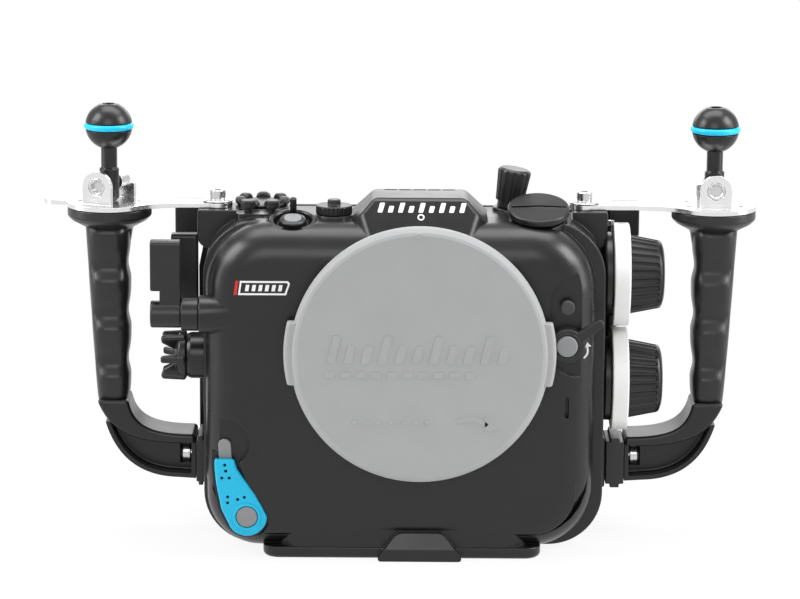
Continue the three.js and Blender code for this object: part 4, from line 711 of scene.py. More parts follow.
latch_margin = [(-106.3, 58), (-92.4, 58), (-91.2, 50), (-86.6, 44), (-81.4, 36.5), (-77.2, 28.6)]
latch_margin += arc(PIVOT, 12.6, 10, -150) + [(-102.9, 26.8), (-105.6, 41), (-106.3, 49.4)]
bosses = [
    plate("latch_corner", latch_margin, -52, -34),
    turned("fairing", [(0, -88), (10.2, -88), (10.2, -113, 0.6), (0, -113)], SHUTTER_AXLE, SIDEWAYS),
    bar("lever_boss", RECORD_AXLE, SIDEWAYS, 7.25, -115.7, -95, 0.5),
    bar("mode_boss", MODE, UPWARD, 14.9, 160, DECK, 1.0, 64),
    bar("dial_boss", TOP_DIAL, UPWARD, 10.2, 160, DECK, 0.6, 48),
    plate("post_boss", box_line(-94.2, -68.8, -23.2, -10.8, 4), 160, DECK, "top"),
]
for side in (-1, 1):
    inner, outer = (-17, 5.5) if side < 0 else (-11.6, 7.3)
    block = mirrored(side, [(inner, DECK), (inner, 160.8, 3), (outer, 160.8, 6), (outer, DECK, 1.5)])
    bosses.append(round_edges(plate("stay_block", block, -12, 12), 0.8, 2))
    reach = 1.4 if side < 0 else 7.9
    low, high = sorted((BODY_LEFT - reach, -96) if side < 0 else (84, BODY_RIGHT + reach))
    bosses.append(brick("arm_boss", (low, -14, 29.3), (high, 14, 56.8), 1.2, 3))
print("bosses", len(bosses))

# %% [markdown]
# Two controls at the front of the deck sit on seats that lean towards the diver: the record button
# by 16 degrees and the plug by 18. Their seats are round pockets, cut along the same leaning axis.
# The vents on the hump, the shelf of the port controls and the corner for the latch are cuts as well.

# %% Leaning seats, vents, shelf and pockets
def leaning(degrees):
    angle = math.radians(degrees)
    return (0, -math.sin(angle), math.cos(angle))


PORT = (4.4, 0, 115)
RECORD_SEAT, RECORD_AXIS = (-63.5, -33, 177), leaning(16)
PLUG_SEAT, PLUG_AXIS = (67.3, -28, 182.5), leaning(18)
KNOB_SEAT, KNOB_AXIS = (52, 0, 181.5), (math.sin(math.radians(9)), 0, math.cos(math.radians(9)))
bosses += [
    turned("record_boss", [(0, -9), (14.6, -9), (14.6, 1.5, 1.0), (13.2, 1.5, 0.5), (13.2, -0.2), (0, -0.2)],
           RECORD_SEAT, RECORD_AXIS),
    bar("plug_boss", PLUG_SEAT, PLUG_AXIS, 15.5, -16, -0.1, 0.3, 64),
    bar("knob_boss", KNOB_SEAT, KNOB_AXIS, 8.6, -14, -0.1, 0.8, 48),
]
port_cut = bar("port_cut", PORT, BACKWARD, 60, -70, -40, 0.2, 128)
shelf_corners = [(73, 100.5, 16), (125, 100.5), (125, 156), (73, 156, 16)]
pocket = arc((-99, 63), 13, 200, -55, 24) + [(-87.9, 42.4), (-83.1, 35.2), (-78.9, 28.6), (-76.2, 22.5)]
pocket += [(-76.0, 18.6), (-79.4, 13.2), (-84.8, 9.6), (-125, 9.6), (-125, 50)]
vent = plate("vent", box_line(0, 7, -1.1, 1.1, 1.05), 192.1, 196, "top", 5)
tools = [
    port_cut,
    plate("shelf_cut", shelf_corners, -70, -52, steps=12),
    plate("latch_cut", pocket, -70, -52),
    bar("record_cut", RECORD_SEAT, RECORD_AXIS, 13.2, -0.2, 30, 0.1, 64),
    bar("plug_cut", PLUG_SEAT, PLUG_AXIS, 17, -0.1, 30, 0.1, 72),
    plate("front_groove", box_line(81.7, 83.8, 78, 89.5, 1), -60, -50.6),
    bar("screw_recess", (99.9, 0, 67.6), FORWARD, 2.4, 38, 60, 0.2, 32),
    move(bar("hump_pocket", (0, 0, 0), UPWARD, 4.6, -1.4, 20, 0.3, 48), Matrix.Translation(mm(-33.6, -34, 183))
         @ Matrix.Rotation(math.radians(-42), 4, "Y") @ Matrix.Rotation(math.radians(24), 4, "X")),
]
for step in range(5):
    slot_cut = copied(vent, f"vent_{step}")
    tools.append(move(slot_cut, Matrix.Translation(mm(HUMP_X + (step - 2) * 7.8 - 3.5, -13, 0))))
bpy.data.objects.remove(vent)
weld(shell, chin, belt, hump, skirt, footing, nose, *bosses)
cut(shell, *tools)
print("shell", len(shell.data.polygons), "faces")
for knuckle in (0, 2):
    low = 69.5 + 24.5 * knuckle
    barrel = bar("barrel", (109.5, 30.25, 0), UPWARD, 4, low, low + 24, 0.4, 32)
    weld(shell, weld(barrel, brick("web", (92, 26.6, low), (109.5, 30, low + 24))))
dress(shell, cast_black, "housing", "front_shell")

# %% [markdown]
# ## The port: ring, cap and lock
# The cap is turned on a lathe from grey plastic, with a bevel round its rim, and two tabs stand out
# at its sides for the fingers. Its face carries raised bars and dots that help a wet thumb: the
# slanted bars are one plate, copied along a row.

# %% Ring and cap
port_ring = turned("port_bayonet_ring_fine", [
    (52, 49), (59.7, 49), (59.7, 56.3), (64.5, 56.3, 0.4), (64.5, 59.3, 0.4), (52, 59.3, 0.4), (52, 49),
], PORT, FORWARD, 128, 3)
dress(port_ring, cast_black, "housing", "port_bayonet_ring")

cap = turned("port_cap_fine", [
    (0, 52.8), (50.2, 52.8, 0.4), (50.2, 54.3), (48.4, 54.3), (48.4, 58.3), (50.2, 58.3), (50.2, 59.8),
    (68.6, 59.8, 1.0), (68.6, 66.4, 1.2), (66.5, 68.6, 0.8), (64.9, 69.3, 0.6), (0, 69.3),
], (4.4, 0, 114.2), FORWARD, 144, 4)
tabs = turned("tabs", [(0, 61), (72, 61, 0.8), (72, 67.6, 2.2), (0, 67.6)], PORT, FORWARD, 144, 4)
tab_band = plate("tab_band", box_line(-90, 99, 98, 132, 3), -80, -50)
combine(tabs, [tab_band], "INTERSECT")
round_edges(tabs, 2.6, 4, 50)
weld(cap, tabs)
print("cap", [round(side / MM, 1) for side in cap.dimensions])

# %% [markdown]
# The raised bars are stamped: one bar of each kind is drawn, and copies of it are set along a row.

# %% Raised marks on the cap
def stamp(name, corners, near, far, steps=3):
    return plate(name, corners, near, far, steps=steps)


def row_of(piece, starts):
    marks = [move(copied(piece, f"{piece.name}_{index}"), Matrix.Translation(mm(x, 0, z)))
             for index, (x, z) in enumerate(starts)]
    bpy.data.objects.remove(piece)
    return marks


tall = stamp("tall_bar", [(0, 110.5, 1), (4.4, 110.5, 1), (8.2, 125.5, 1), (3.8, 125.5, 1)], -69.75, -69)
low_bar = stamp("low_bar", [(0, 110.5, 1), (4.4, 110.5, 1), (6.8, 120, 1), (2.4, 120, 1)], -69.75, -69)
dash = stamp("dash", [(0, 102.5, 0.8), (5.2, 102.5, 0.8), (5.8, 106, 0.8), (0.6, 106, 0.8)], -69.7, -69)
dot = bar("dot", (0, 0, 78.5), FORWARD, 1.3, 69, 69.7, 0.2, 20)
raised = row_of(tall, [(-45 + 27 * step, 0) for step in range(4)])
raised += row_of(low_bar, [(-45 + 9 * step, 0) for step in range(11) if step % 3])
raised += row_of(dash, [(-46 + 8.2 * step, 0) for step in range(10)])
raised += row_of(dot, [(-30 + 6.4 * step, 0) for step in range(7)])
sweep_line = arc((31, 66), 16, 118, 50, 12) + arc((31, 66), 13.4, 50, 118, 12)
raised.append(stamp("sweep", sweep_line, -69.7, -69))
raised.append(stamp("arrow_head", [(46.2, 74.5), (39.2, 82.8), (38.2, 74.2)], -69.7, -69))
raised.append(bar("index_dot", (3.5, 0, 179), FORWARD, 1.7, 66, 69.75, 0.3, 24))
cap = gather("port_cap_fine", [cap, *[round_edges(mark, 0.25, 2, 50) for mark in raised]])
dress(cap, cap_grey, "cap", "port_cap")
refined("port_cap_seal", seal_rubber, "cap", 0)

# %% [markdown]
# Beside the cap sit two controls on one shelf: the port lock, a hub with an arm and a button in its
# middle, and the plain release button of the lens.

# %% Port lock and lens release
LOCK = (82.2, 0, 118.5)
hub = turned("port_lock_lever_fine", [
    (0, 52.3), (9.2, 52.3, 0.3), (9.2, 60.5, 0.9), (7.3, 60.5, 0.1), (7.3, 61, 0.2), (5.9, 61, 0.2),
    (5.9, 56.8), (0, 56.8),
], LOCK, FORWARD, 64, 3)
lever = [(86, 115.4), (105, 116.3, 2.1), (105, 120.7, 2.1), (86, 121.6)]
lever = round_edges(plate("lock_arm", lever, -60.4, -56.4), 0.7, 3)
weld(hub, move(lever, about(LOCK, BACKWARD, -35)))
dress(hub, moulded_black, "lock_lever", "port_lock_lever")
lock_button = turned("port_lock_button_fine", [(0, 59.1), (5.6, 59.1), (5.6, 61.8, 0.8), (0, 62)], LOCK, FORWARD)
dress(lock_button, button_grey, "lock_button", "port_lock_button")
release = turned("lens_release_button_fine", [
    (0, 42), (2, 42), (2, 54.3), (3.8, 54.3), (3.8, 58.4, 0.8), (0, 58.5),
], (82.3, 0, 138.6), FORWARD, 48)
dress(release, dark_grey, "release_button", "lens_release_button")

# %% [markdown]
# ## The latch
# A blue lever turns on a grey disc. It is a flat bar whose outline swells from a narrow tip to a
# round end. A grey slide looks out over its tip, and a row of small holes is drilled in its face.

# %% Latch lever, its disc and its slide
latch_outline = [(-104.6, 54.9, 1.2), (-94.2, 54.9, 1.5), (-92.6, 49.4, 3), (-88.3, 43.2, 8), (-83, 35.5, 8)]
latch_outline += [(-78.9, 28, 6)] + arc(PIVOT, 10.8, -2, -142, 18)
latch_outline += [(-100.9, 27.3, 8), (-103.6, 41.1, 8), (-104.5, 49.4, 6)]
latch = plate("latch_lever_fine", latch_outline, -57.8, -52.3, steps=4)
round_edges(latch, 1.1, 4, 50)
at_pivot = (PIVOT.x, 0, PIVOT.y)
rim_profile = [(5.95, 57), (7.5, 57), (7.5, 58.5, 0.5), (5.95, 58.5, 0.3), (5.95, 57)]
rim = turned("rim", rim_profile, at_pivot, FORWARD, 64, 4)
weld(latch, rim)
holes = [(-99.1, 52), (-98.6, 48.7), (-100.6, 44.9), (-96.7, 44.9), (-97.6, 34.5), (-97.6, 31.2)]
holes += [(-92.2, 33.1), (-88.7, 34.3)]
drills = [bar("drill", (x, 0, z), FORWARD, 0.85, 55.5, 60, 0.05, 16) for x, z in holes]
channel = plate("channel", [(-102.6, 38), (-93.4, 38), (-94.8, 70), (-104.4, 70)], -54.9, -50)
cut(latch, bar("disc_room", at_pivot, FORWARD, 5.95, 55, 60, 0.05, 64),
    bar("shaft_room", at_pivot, FORWARD, 3.5, 50, 60, 0.05, 32), channel, *drills)
dress(latch, latch_blue, "latch", "latch_lever")
# Painted shade: thin near-black plugs sit in the bottoms of the drilled holes so that the holes read dark.
hole_shade_plugs = gather("latch_hole_shade", [bar("pit", (x, 0, z), FORWARD, 0.84, 55.5, 56.9, 0.05, 16) for x, z in holes])
dress(hole_shade_plugs, hole_shade_black, "latch", slot="latch_blue")

shaft = turned("latch_shaft_fine", [
    (0, 58.6), (4.9, 58.6, 0.4), (5.65, 58.1, 0.3), (5.65, 55.4), (3.2, 55.4), (3.2, -38.5), (0, -38.5),
], at_pivot, FORWARD, 64, 3)
cam = plate("cam", box_line(-9.2, 9.2, -4, 4, 3.8), 36, 41)
cam = move(cam, Matrix.Translation(mm(*at_pivot)) @ Matrix.Rotation(math.radians(-20.5), 4, "Y"))
weld(shaft, round_edges(cam, 0.5, 2))
dress(shaft, button_grey, "latch", "latch_shaft")
slide = plate("latch_safety_button_fine",
              [(-101.4, 41.5, 0.5), (-94.6, 41.5, 0.5), (-96.1, 65.3, 3.2), (-102.9, 65.3, 3.2)], -54.5, -52.35)
dress(round_edges(slide, 0.5, 3), button_grey, "latch_safety", "latch_safety_button")

# %% [markdown]
# ## Side knobs
# Each knob is a ribbed cone behind a white ring, on a bearing that stands on a narrow neck. The ribs
# are what is left between grooves: one round cutter lies along the cone's slope, its copies stand
# round the axis, and one Boolean takes all grooves out at once.

# %% Ribbed cones, white rings and bearings
def fluted(piece, cutter, count, at, axis):
    cutters = gather("cutters", ring_of(cutter, count, at, axis))
    return cut(piece, cutters)


def side_knob(which, height):
    at = (0, -5, height)
    body = f"{which}_knob"
    cone = turned(f"{which}_side_knob_fine", [
        (0, 108.9), (13.9, 108.9), (13.9, 117.6), (21.5, 117.6, 0.5), (18.2, 134.6, 2.6),
        (14, 136.1, 8), (0, 136.6),
    ], at, SIDEWAYS, 112, 6)
    slope = math.atan2(3.4, 17)
    groove = bar("groove", at, SIDEWAYS, 1.75, 112, 133.6, 1.5, 12)
    turn = Matrix.Rotation(slope, 4, "Y")
    foot = mm(117.6, -5, height + 21.95)
    groove = move(groove, Matrix.Translation(foot) @ turn @ Matrix.Translation(-mm(117.6, -5, height)))
    fluted(cone, groove, 28, at, SIDEWAYS)
    stem = bar("stem", at, SIDEWAYS, 4, 82.2, 110, 0.2)
    gear = bar("gear", at, SIDEWAYS, 8, 82, 88, 0.4, 72)
    notch = bar("notch", (0, -5, height + 8.4), SIDEWAYS, 1.1, 80, 90, 0.05, 8)
    fluted(gear, notch, 18, at, SIDEWAYS)
    dress(gather(cone.name, [cone, stem, gear]), moulded_black, body, f"{which}_side_knob")
    ring = turned(f"{which}_knob_ring_fine", [
        (14.3, 108.6), (28, 108.6, 0.7), (28, 117.3, 0.9), (14.3, 117.3, 0.3), (14.3, 108.6),
    ], at, SIDEWAYS, 128, 4)
    index = brick("index", (111.4, -5.5, height + 27.2), (115.2, -4.5, height + 30))
    dress(cut(ring, index), ring_white, body, f"{which}_knob_ring")
    bearing = turned(f"{which}_knob_bearing_fine", [
        (4.6, 98.3), (10.5, 98.3), (10.5, 103.8), (21.8, 103.8, 0.6), (22.8, 105, 0.6), (22.8, 108.3, 0.6),
        (4.6, 108.3), (4.6, 98.3),
    ], at, SIDEWAYS, 96, 3)
    dress(bearing, cast_black, "housing", f"{which}_knob_bearing")


side_knob("upper", 146.4)
side_knob("lower", 88.6)

# %% [markdown]
# ## Finger levers and the lobed dial on the left
# The shutter lever is a hub that turns on a bush, with an upright paddle for the finger. The dial
# below it has six fins, each drawn from the side as a wing that tapers to its tip.

# %% Levers
def finger_lever(name, body, at, start, width, foot, height, relief):
    end = start - width
    hub = turned(name + "_fine", [
        (0, start), (7.25, start, 0.4), (7.25, end, 1.0), (0, end),
    ], at, SIDEWAYS, 64, 3)
    y, z = at[1:]
    neck = plate("neck", [(y - 4.5, z), (y + 4.5, z), (y + 4.5, z + foot + 2), (y - 4.5, z + foot + 2)],
                 start, end + relief, "side")
    paddle = plate("paddle", [
        (y - 4.5, z + foot, 1.6), (y + 4.5, z + foot), (y + 4.5, z + foot + height, 2.2),
        (y - 4.5, z + foot + height, 2.2),
    ], start, end, "side")
    round_edges(paddle, 0.9, 3, 50)
    weld(hub, round_edges(neck, 0.5, 2), paddle)
    shaft = bar("shaft", at, SIDEWAYS, 3.2, start + 0.5, -97, 0.3, 24)
    return dress(gather(hub.name, [hub, shaft]), moulded_black, body, name)


finger_lever("shutter_lever", "shutter", SHUTTER_AXLE, -122.7, 16, 13, 27, 5)
finger_lever("record_lever", "record", RECORD_AXLE, -116, 14.5, 9, 35, 0)
bush = turned("shutter_lever_bush_fine", [
    (3.6, -113.3), (8.85, -113.3, 0.3), (8.85, -122.4, 0.6), (3.6, -122.4), (3.6, -113.3),
], SHUTTER_AXLE, SIDEWAYS, 64, 3)
dress(bush, cast_black, "housing", "shutter_lever_bush")

# %% [markdown]
# The dial's fin is drawn once, and five copies of it are turned round the dial's axis.

# %% Lobed dial
DIAL = (0, -20, 103.5)
boss = turned("side_dial_boss_fine", [
    (3.6, -110.3), (12.5, -110.3), (12.5, -118.6, 0.6), (11.6, -120.8, 0.5), (3.6, -120.8), (3.6, -110.3),
], DIAL, SIDEWAYS, 72, 3)
dress(boss, cast_black, "housing", "side_dial_boss")
dial = turned("side_lobed_dial_fine", [
    (0, -121.1), (12.6, -121.1, 0.8), (12.2, -125.4, 2.2), (7, -127.1, 2), (0, -127.1),
], DIAL, SIDEWAYS, 72, 4)
fin_line = [(-121.1, 5, 0), (-121.1, 13.9, 1.6), (-134.9, 13.2, 1.7), (-134.2, 9.6, 1.7), (-127.6, 5.2, 3)]
fin = plate("fin", [(x, DIAL[2] + r, *rest) for x, r, *rest in fin_line], -21.9, -18.1, steps=5)
round_edges(fin, 1.2, 4, 50)
fin = move(fin, about(DIAL, SIDEWAYS, 90))
fins = ring_of(fin, 6, DIAL, SIDEWAYS)
dial = gather(dial.name, [dial, *fins, bar("shaft", DIAL, SIDEWAYS, 3.2, -122, -97, 0.3, 24)])
dress(dial, moulded_black, "side_dial", "side_lobed_dial")

# %% [markdown]
# ## Deck controls
# On the deck stand a dial with seven petals, two post buttons, a knurled dial, the record button
# inside its zoom ring, a ribbed knob that leans outwards and the slotted plug of a spare bulkhead
# hole. All are lathe work, with petals, ribs, spokes or a slot added.

# %% Mode dial, top dial and post buttons
mode = turned("mode_dial_fine", [
    (0, 181.8), (13.6, 181.8, 0.6), (13.6, 183.2, 0.6), (9.5, 183.6, 0.5), (0, 183.9),
], MODE, UPWARD, 84, 4)
petal_line = [(-85.2, 182), (-76.8, 182), (-77.5, 186.4, 3.2), (-84.5, 186.4, 3.2)]
petal = plate("petal", petal_line, 15.6, 20.6, steps=8)
round_edges(petal, 1.8, 5, 50)
petals = ring_of(petal, 7, MODE, UPWARD)
mode = gather(mode.name, [mode, *petals, bar("shaft", MODE, UPWARD, 3.2, 168, 183, 0.3, 24)])
dress(mode, moulded_black, "modes", "mode_dial")

top_dial = turned("top_dial_fine", [
    (0, 181.8), (9.75, 181.8, 0.4), (9.75, 186.4, 0.9), (3.6, 186.6, 0.4), (3.4, 189.5, 0.7), (0, 189.5),
], TOP_DIAL, UPWARD, 96, 4)
fluted(top_dial, bar("flute", (-41.8, -10.0, 0), UPWARD, 0.7, 180, 190, 0.05, 10), 24, TOP_DIAL, UPWARD)
top_dial = gather(top_dial.name, [top_dial, bar("shaft", TOP_DIAL, UPWARD, 2, 168, 183, 0.3, 24)])
dress(top_dial, moulded_black, "top_wheel", "top_dial")
for side, x in (("left", -88), ("right", -75)):
    post = turned(f"{side}_post_button_fine", [
        (0, 168), (2, 168), (2, 183.8), (3.8, 183.8, 0.4), (3.8, 188.2, 0.9), (0, 188.3),
    ], (x, -17, 0), UPWARD, 48, 4)
    dress(post, moulded_black, f"{side}_post", f"{side}_post_button")

# %% [markdown]
# The leaning controls are turned upright at the origin, and then moved to their seat in one step.

# %% Record button in its zoom ring
def lean_of(seat, axis):
    turn = Vector(UPWARD).rotation_difference(Vector(axis)).to_matrix().to_4x4()
    return Matrix.Translation(mm(*seat)) @ turn


drum = turned("record_button_fine", [
    (0, -13), (2, -13), (2, 0.4), (7.1, 0.4, 0.3), (7.1, 4.3, 0.9), (4.85, 5.2, 0.3), (4.85, 4.8), (0, 4.8),
], (0, 0, 0), UPWARD, 64, 3)
record_lean = lean_of(RECORD_SEAT, RECORD_AXIS)
dress(move(drum, record_lean), moulded_black, "record_press", "record_button")
disc = turned("record_button_disc", [(0, 4.6), (4.75, 4.6), (4.75, 5.3, 0.3), (0, 5.4)], (0, 0, 0), UPWARD, 48, 3)
dress(move(disc, record_lean), button_grey, "record_press", slot="button_grey")
zoom = turned("zoom_ring_fine", [
    (10.2, 1.2), (12.9, 1.2, 0.4), (12.9, 4, 1.1), (11, 4.4, 0.5), (10.2, 3.4, 0.4), (10.2, 1.2),
], (0, 0, 0), UPWARD, 84, 3)
front_gap = plate("front_gap", [(-10, -16), (10, -16), (3, -8), (-3, -8)], -1, 8, "top")
cut(zoom, round_edges(front_gap, 1.2, 3))
collar = turned("collar", [(7.4, 0.2), (8.5, 0.2), (8.5, 1.6, 0.3), (7.4, 1.6, 0.3), (7.4, 0.2)], (0, 0, 0),
                UPWARD, 64, 2)
spoke = brick("spoke", (-1.2, 8, 0.4), (1.2, 10.6, 1.8), 0.2, 1)
thumb_post = bar("thumb_post", (0, 10.9, 0), UPWARD, 1.8, 1.3, 11.3, 0.5, 28)
zoom = gather(zoom.name, [zoom, collar, thumb_post, *ring_of(spoke, 3, (0, 0, 0), UPWARD)])
dress(move(zoom, record_lean), moulded_black, "zoom", "zoom_ring")

# %% [markdown]
# Knob and plug are lathe work too: grooves make the knob's ribs, and one straight cut makes the slot.

# %% Ribbed knob and slotted plug
knob = turned("ribbed_knob_fine", [
    (0, 0.3), (6.4, 0.3, 0.3), (6.4, 4), (7.6, 4, 0.4), (9, 20.6, 1.4), (7.4, 22, 0.6), (0, 22),
], (0, 0, 0), UPWARD, 84, 4)
rib_cut = bar("rib_cut", (0, 0, 0), UPWARD, 1.25, 2, 30, 0.05, 12)
rib_cut = move(rib_cut, Matrix.Translation(mm(0, 7.95, 0)) @ Matrix.Rotation(-math.atan2(1.4, 18), 4, "X"))
fluted(knob, rib_cut, 14, (0, 0, 0), UPWARD)
knob = gather(knob.name, [knob, bar("shaft", (0, 0, 0), UPWARD, 2, -13, 1, 0.2, 24)])
dress(move(knob, lean_of(KNOB_SEAT, KNOB_AXIS)), moulded_black, "knob_on_top", "ribbed_knob")
plug = turned("bulkhead_plug_fine", [
    (0, -7), (8.2, -7), (8.2, 0.3), (14.6, 0.3, 0.3), (16.5, 2.2, 0.4), (16.5, 5.3, 0.9), (0, 6),
], (0, 0, 0), UPWARD, 112, 4)
cut(plug, brick("slot", (-14.6, -0.9, 4.3), (14.6, 0.9, 9)))
dress(move(plug, lean_of(PLUG_SEAT, PLUG_AXIS)), cast_black, "housing", "bulkhead_plug")

# %% [markdown]
# ## Stays, screws and ball stems
# Each handle hangs from a stay, a polished sheet with two upright ears and a flared neck. Its
# outline is drawn from above with arcs and one smooth curve, pulled to its thickness, and then the
# ears are welded on and the holes are drilled.

# %% Curves and screw heads
def curve(*handles, steps=10):
    points = []
    for step in range(1, steps + 1):
        level = [Vector(handle) for handle in handles]
        while len(level) > 1:
            level = [a.lerp(b, step / steps) for a, b in zip(level, level[1:])]
        points.append(tuple(level[0]))
    return points


def socket_head(name, at, axis, radius, start, height, socket, depth):
    top = start + height
    head = turned(name, [(0, start), (radius, start, 0.2), (radius, top, 0.6), (0, top)], at, axis, 56, 3)
    key = turned("key", [(0, top - depth), (socket, top - depth), (socket, top + 2), (0, top + 2)], at, axis, 6)
    return cut(head, key)


# %% [markdown]
# The left stay also has a small tongue with a hole, and its ears are turned a little outwards.

# %% Stays with their ears
LEFT_X, RIGHT_X, STAY_LOW, STAY_TOP, STEM_Z = -163.5, 163, 181.8, 184.3, 193.8
EAR_TURN, SCREW_X = {"left": -23, "right": 0}, {"left": -105, "right": 93}


def stay(side, x):
    out = -1 if side == "left" else 1
    screw_x, turn = SCREW_X[side], about((x, 0, 0), UPWARD, EAR_TURN[side])
    line = arc((0, 0), 23, -140, 140, 40)
    if side == "left":
        line = arc((0, 0), 23, -140, -3.4, 24) + arc((28, 8.6), 8, -73, 107, 14) + arc((0, 0), 23, 37.4, 140, 18)
    reach = abs(x - screw_x)
    end = arc((-reach, 0), 8, 54, 306, 20)
    flare = curve(line[-1], (-23, 9), (-34, 6.5), (-44, 6.5))
    back = curve((-44, -6.5), (-34, -6.5), (-23, -9), line[0])
    outline = [(x + out * a, b) for a, b in line + flare + end + [(-44, -6.5)] + back[:-1]]
    sheet = plate(f"{side}_stay_fine", outline, STAY_LOW, STAY_TOP, "top")
    ears = []
    round_top = arc((x, STEM_Z), 8.5, 0, 180, 24)
    flat_top = [(x + 8.5, STEM_Z - 1, 1.5), (x - 8.5, STEM_Z - 1, 1.5)]
    for near, far, top in ((-15, -12.5, round_top), (12.5, 15, flat_top)):
        shape = [(x - 8.5, STAY_LOW), (x + 8.5, STAY_LOW)] + top
        ears.append(move(plate("ear", shape, near, far), turn))
    weld(sheet, *ears)
    eye = move(bar("eye", (x, 0, STEM_Z), BACKWARD, 4.95, -20, 20, 0.05, 40), turn)
    drills = [eye, bar("screw_hole", (screw_x, 0, 0), UPWARD, 2.6, 170, 190, 0.05, 24)]
    for across in (-14, 14):
        for along in (-7, 7):
            hole = bar("hole", (x + across, along, 0), UPWARD, 1.6, 170, 190, 0.05, 20)
            drills.append(move(hole, turn))
    slot_x = screw_x + out * 11
    drills.append(brick("slot", (slot_x - 1.8, -0.7, 170), (slot_x + 1.8, 0.7, 190)))
    if side == "left":
        drills.append(bar("tongue_hole", (x - 28, 8.6, 0), UPWARD, 1.6, 170, 190, 0.05, 20))
    cut(sheet, *drills)
    dress(round_edges(sheet, 0.3, 2, 50), sheet_steel, "housing", f"{side}_stay")


stay("left", LEFT_X)
stay("right", RIGHT_X)

# %% [markdown]
# A screw is a washer, a socket head and a thread, joined into one piece.

# %% Stay screws on their washers
for side, x in SCREW_X.items():
    washer = turned(f"{side}_stay_screw_fine", [
        (0, 184.6), (8.3, 184.6, 0.3), (8.3, 185.2, 0.3), (7, 185.8, 0.3), (0, 185.8),
    ], (x, 0, 0), UPWARD, 72, 3)
    head = socket_head("head", (x, 0, 0), UPWARD, 4.25, 185.6, 5.2, 2.3, 2.6)
    thread = bar("thread", (x, 0, 0), UPWARD, 2.5, 169.8, 185, 0.3, 32)
    screw = gather(washer.name, [washer, head, thread])
    dress(screw, screw_steel, "housing", f"{side}_stay_screw")

# %% [markdown]
# ## Ball stems
# Lights clamp on these 1 inch balls. Stem and ball are one turned piece with a groove for the blue
# ring, and its hexagon socket is cut from the top. The stem's clamp bolt goes through both ears.

# %% Stems, rings and bolts
def ball_stem(side, x):
    foot_z, ball = -9, 31.5
    low = math.degrees(math.asin(math.sqrt(12.7 ** 2 - 4.35 ** 2) / 12.7))
    line = [(0, foot_z), (4.2, foot_z, 0.4), (5.3, foot_z + 1.6, 0.6), (5.3, 8.2, 0.8), (4.35, 8.9, 0.3)]
    line += arc((0, ball), 12.7, -low, -9.3, 12) + [(9.7, ball - 2.05), (9.7, ball + 2.05)]
    line += arc((0, ball), 12.7, 9.3, 68.4, 12) + [(0, ball + 11.8)]
    stem = turned(f"{side}_ball_stem_fine", line, (x, 0, STEM_Z), UPWARD, 72, 3)
    key = turned("key", [(0, ball + 6.8), (3.6, ball + 6.8), (3.6, ball + 16), (0, ball + 16)],
                 (x, 0, STEM_Z), UPWARD, 6)
    eye = bar("eye", (x, 0, STEM_Z), BACKWARD, 2.9, -9, 9, 0.05, 32)
    turn = about((x, 0, 0), UPWARD, EAR_TURN[side])
    dress(move(cut(stem, key, eye), turn), cast_black, f"{side}_ball", f"{side}_ball_stem")
    ring = turned(f"{side}_ball_ring_fine", [(11.7 + a, b) for a, b in arc((0, ball), 1.75, 0, 360, 20)],
                  (x, 0, STEM_Z), UPWARD, 96)
    dress(ring, ring_blue, f"{side}_ball", f"{side}_ball_ring")
    bolt = turned(f"{side}_stem_bolt_fine", [
        (0, -12.9), (3.1, -12.9), (3.1, -14.4), (3.6, -15, 0.2), (4.9, -15, 0.4), (4.9, -5.8, 0.3), (2.6, -5.8),
        (2.6, 5.8), (4.9, 5.8, 0.3), (4.9, 15, 0.4), (0, 15),
    ], (x, 0, STEM_Z), BACKWARD, 56, 3)
    dress(move(bolt, turn), screw_steel, f"{side}_ball", f"{side}_stem_bolt")


ball_stem("left", LEFT_X)
ball_stem("right", RIGHT_X)

# %% [markdown]
# ## Grips
# A grip is a rubber column whose section is a rounded square. It is drawn once at the foot, pulled
# up, and cut into many levels. Then every level gets its own width, and the finger hollows come
# from one cosine wave: it pushes the front back, and the inner side by half as much.

# %% Grips with finger hollows
def grip(side, x):
    inner = 1 if side == "left" else -1
    low_z, high_z = 74.5, 171.5
    section = arc((x, 0), 10, 0, 360, 56)[:-1]
    column = plate(f"{side}_grip_fine", section, low_z, high_z, "top")
    edit(column, "EDGE")
    bpy.ops.mesh.select_all(action="DESELECT")
    mesh = bmesh.from_edit_mesh(column.data)
    for edge in mesh.edges:
        edge.select_set(abs(edge.verts[0].co.z - edge.verts[1].co.z) > MM)
    bmesh.update_edit_mesh(column.data)
    bpy.ops.mesh.subdivide(number_cuts=119)
    mesh = bmesh.from_edit_mesh(column.data)
    for vertex in mesh.verts:
        share = (vertex.co.z / MM - low_z) / (high_z - low_z)
        width = 17 + 7 * share ** 0.7
        depth = 27 + 4 * share
        across = (vertex.co.x / MM - x) / 10
        along = vertex.co.y / MM / 10
        down = (-3.65 * (share - 0.14)) % 1
        wave = (1 - math.cos(2 * math.pi * down ** 1.7)) / 2
        squared = [math.copysign(abs(value) ** 0.66, value) for value in (across, along)]
        lean = inner * (1.7 - 2.5 * share)
        vertex.co.x = (x + lean + width / 2 * squared[0] - inner * max(inner * across, 0) * wave * 1.5) * MM
        vertex.co.y = (depth / 2 * squared[1] + max(-along, 0) * wave * 4) * MM
    bmesh.update_edit_mesh(column.data)
    leave()
    round_edges(column, 1.0, 3, 60)
    flange = turned("flange", [
        (0, 161.5), (11.5, 163), (12.7, 170.2, 3), (20.4, 174.4, 4), (22.7, 176.8, 2),
        (22.7, 181.5, 0.8), (0, 181.5),
    ], (x, 0, 0), UPWARD, 112, 6)
    dress(gather(column.name, [column, flange]), grip_rubber, "housing", f"{side}_grip", angle=50)


grip("left", LEFT_X)
grip("right", RIGHT_X)

# %% [markdown]
# ## Handle arms
# An arm is a thick bent bracket that carries the grip, with a thin rim under it. A web closes the
# corner between the two, and leaves a shallow pocket in front, where the bolt sits. Outlines are
# drawn from the side with smooth curves, measured outwards from the root.

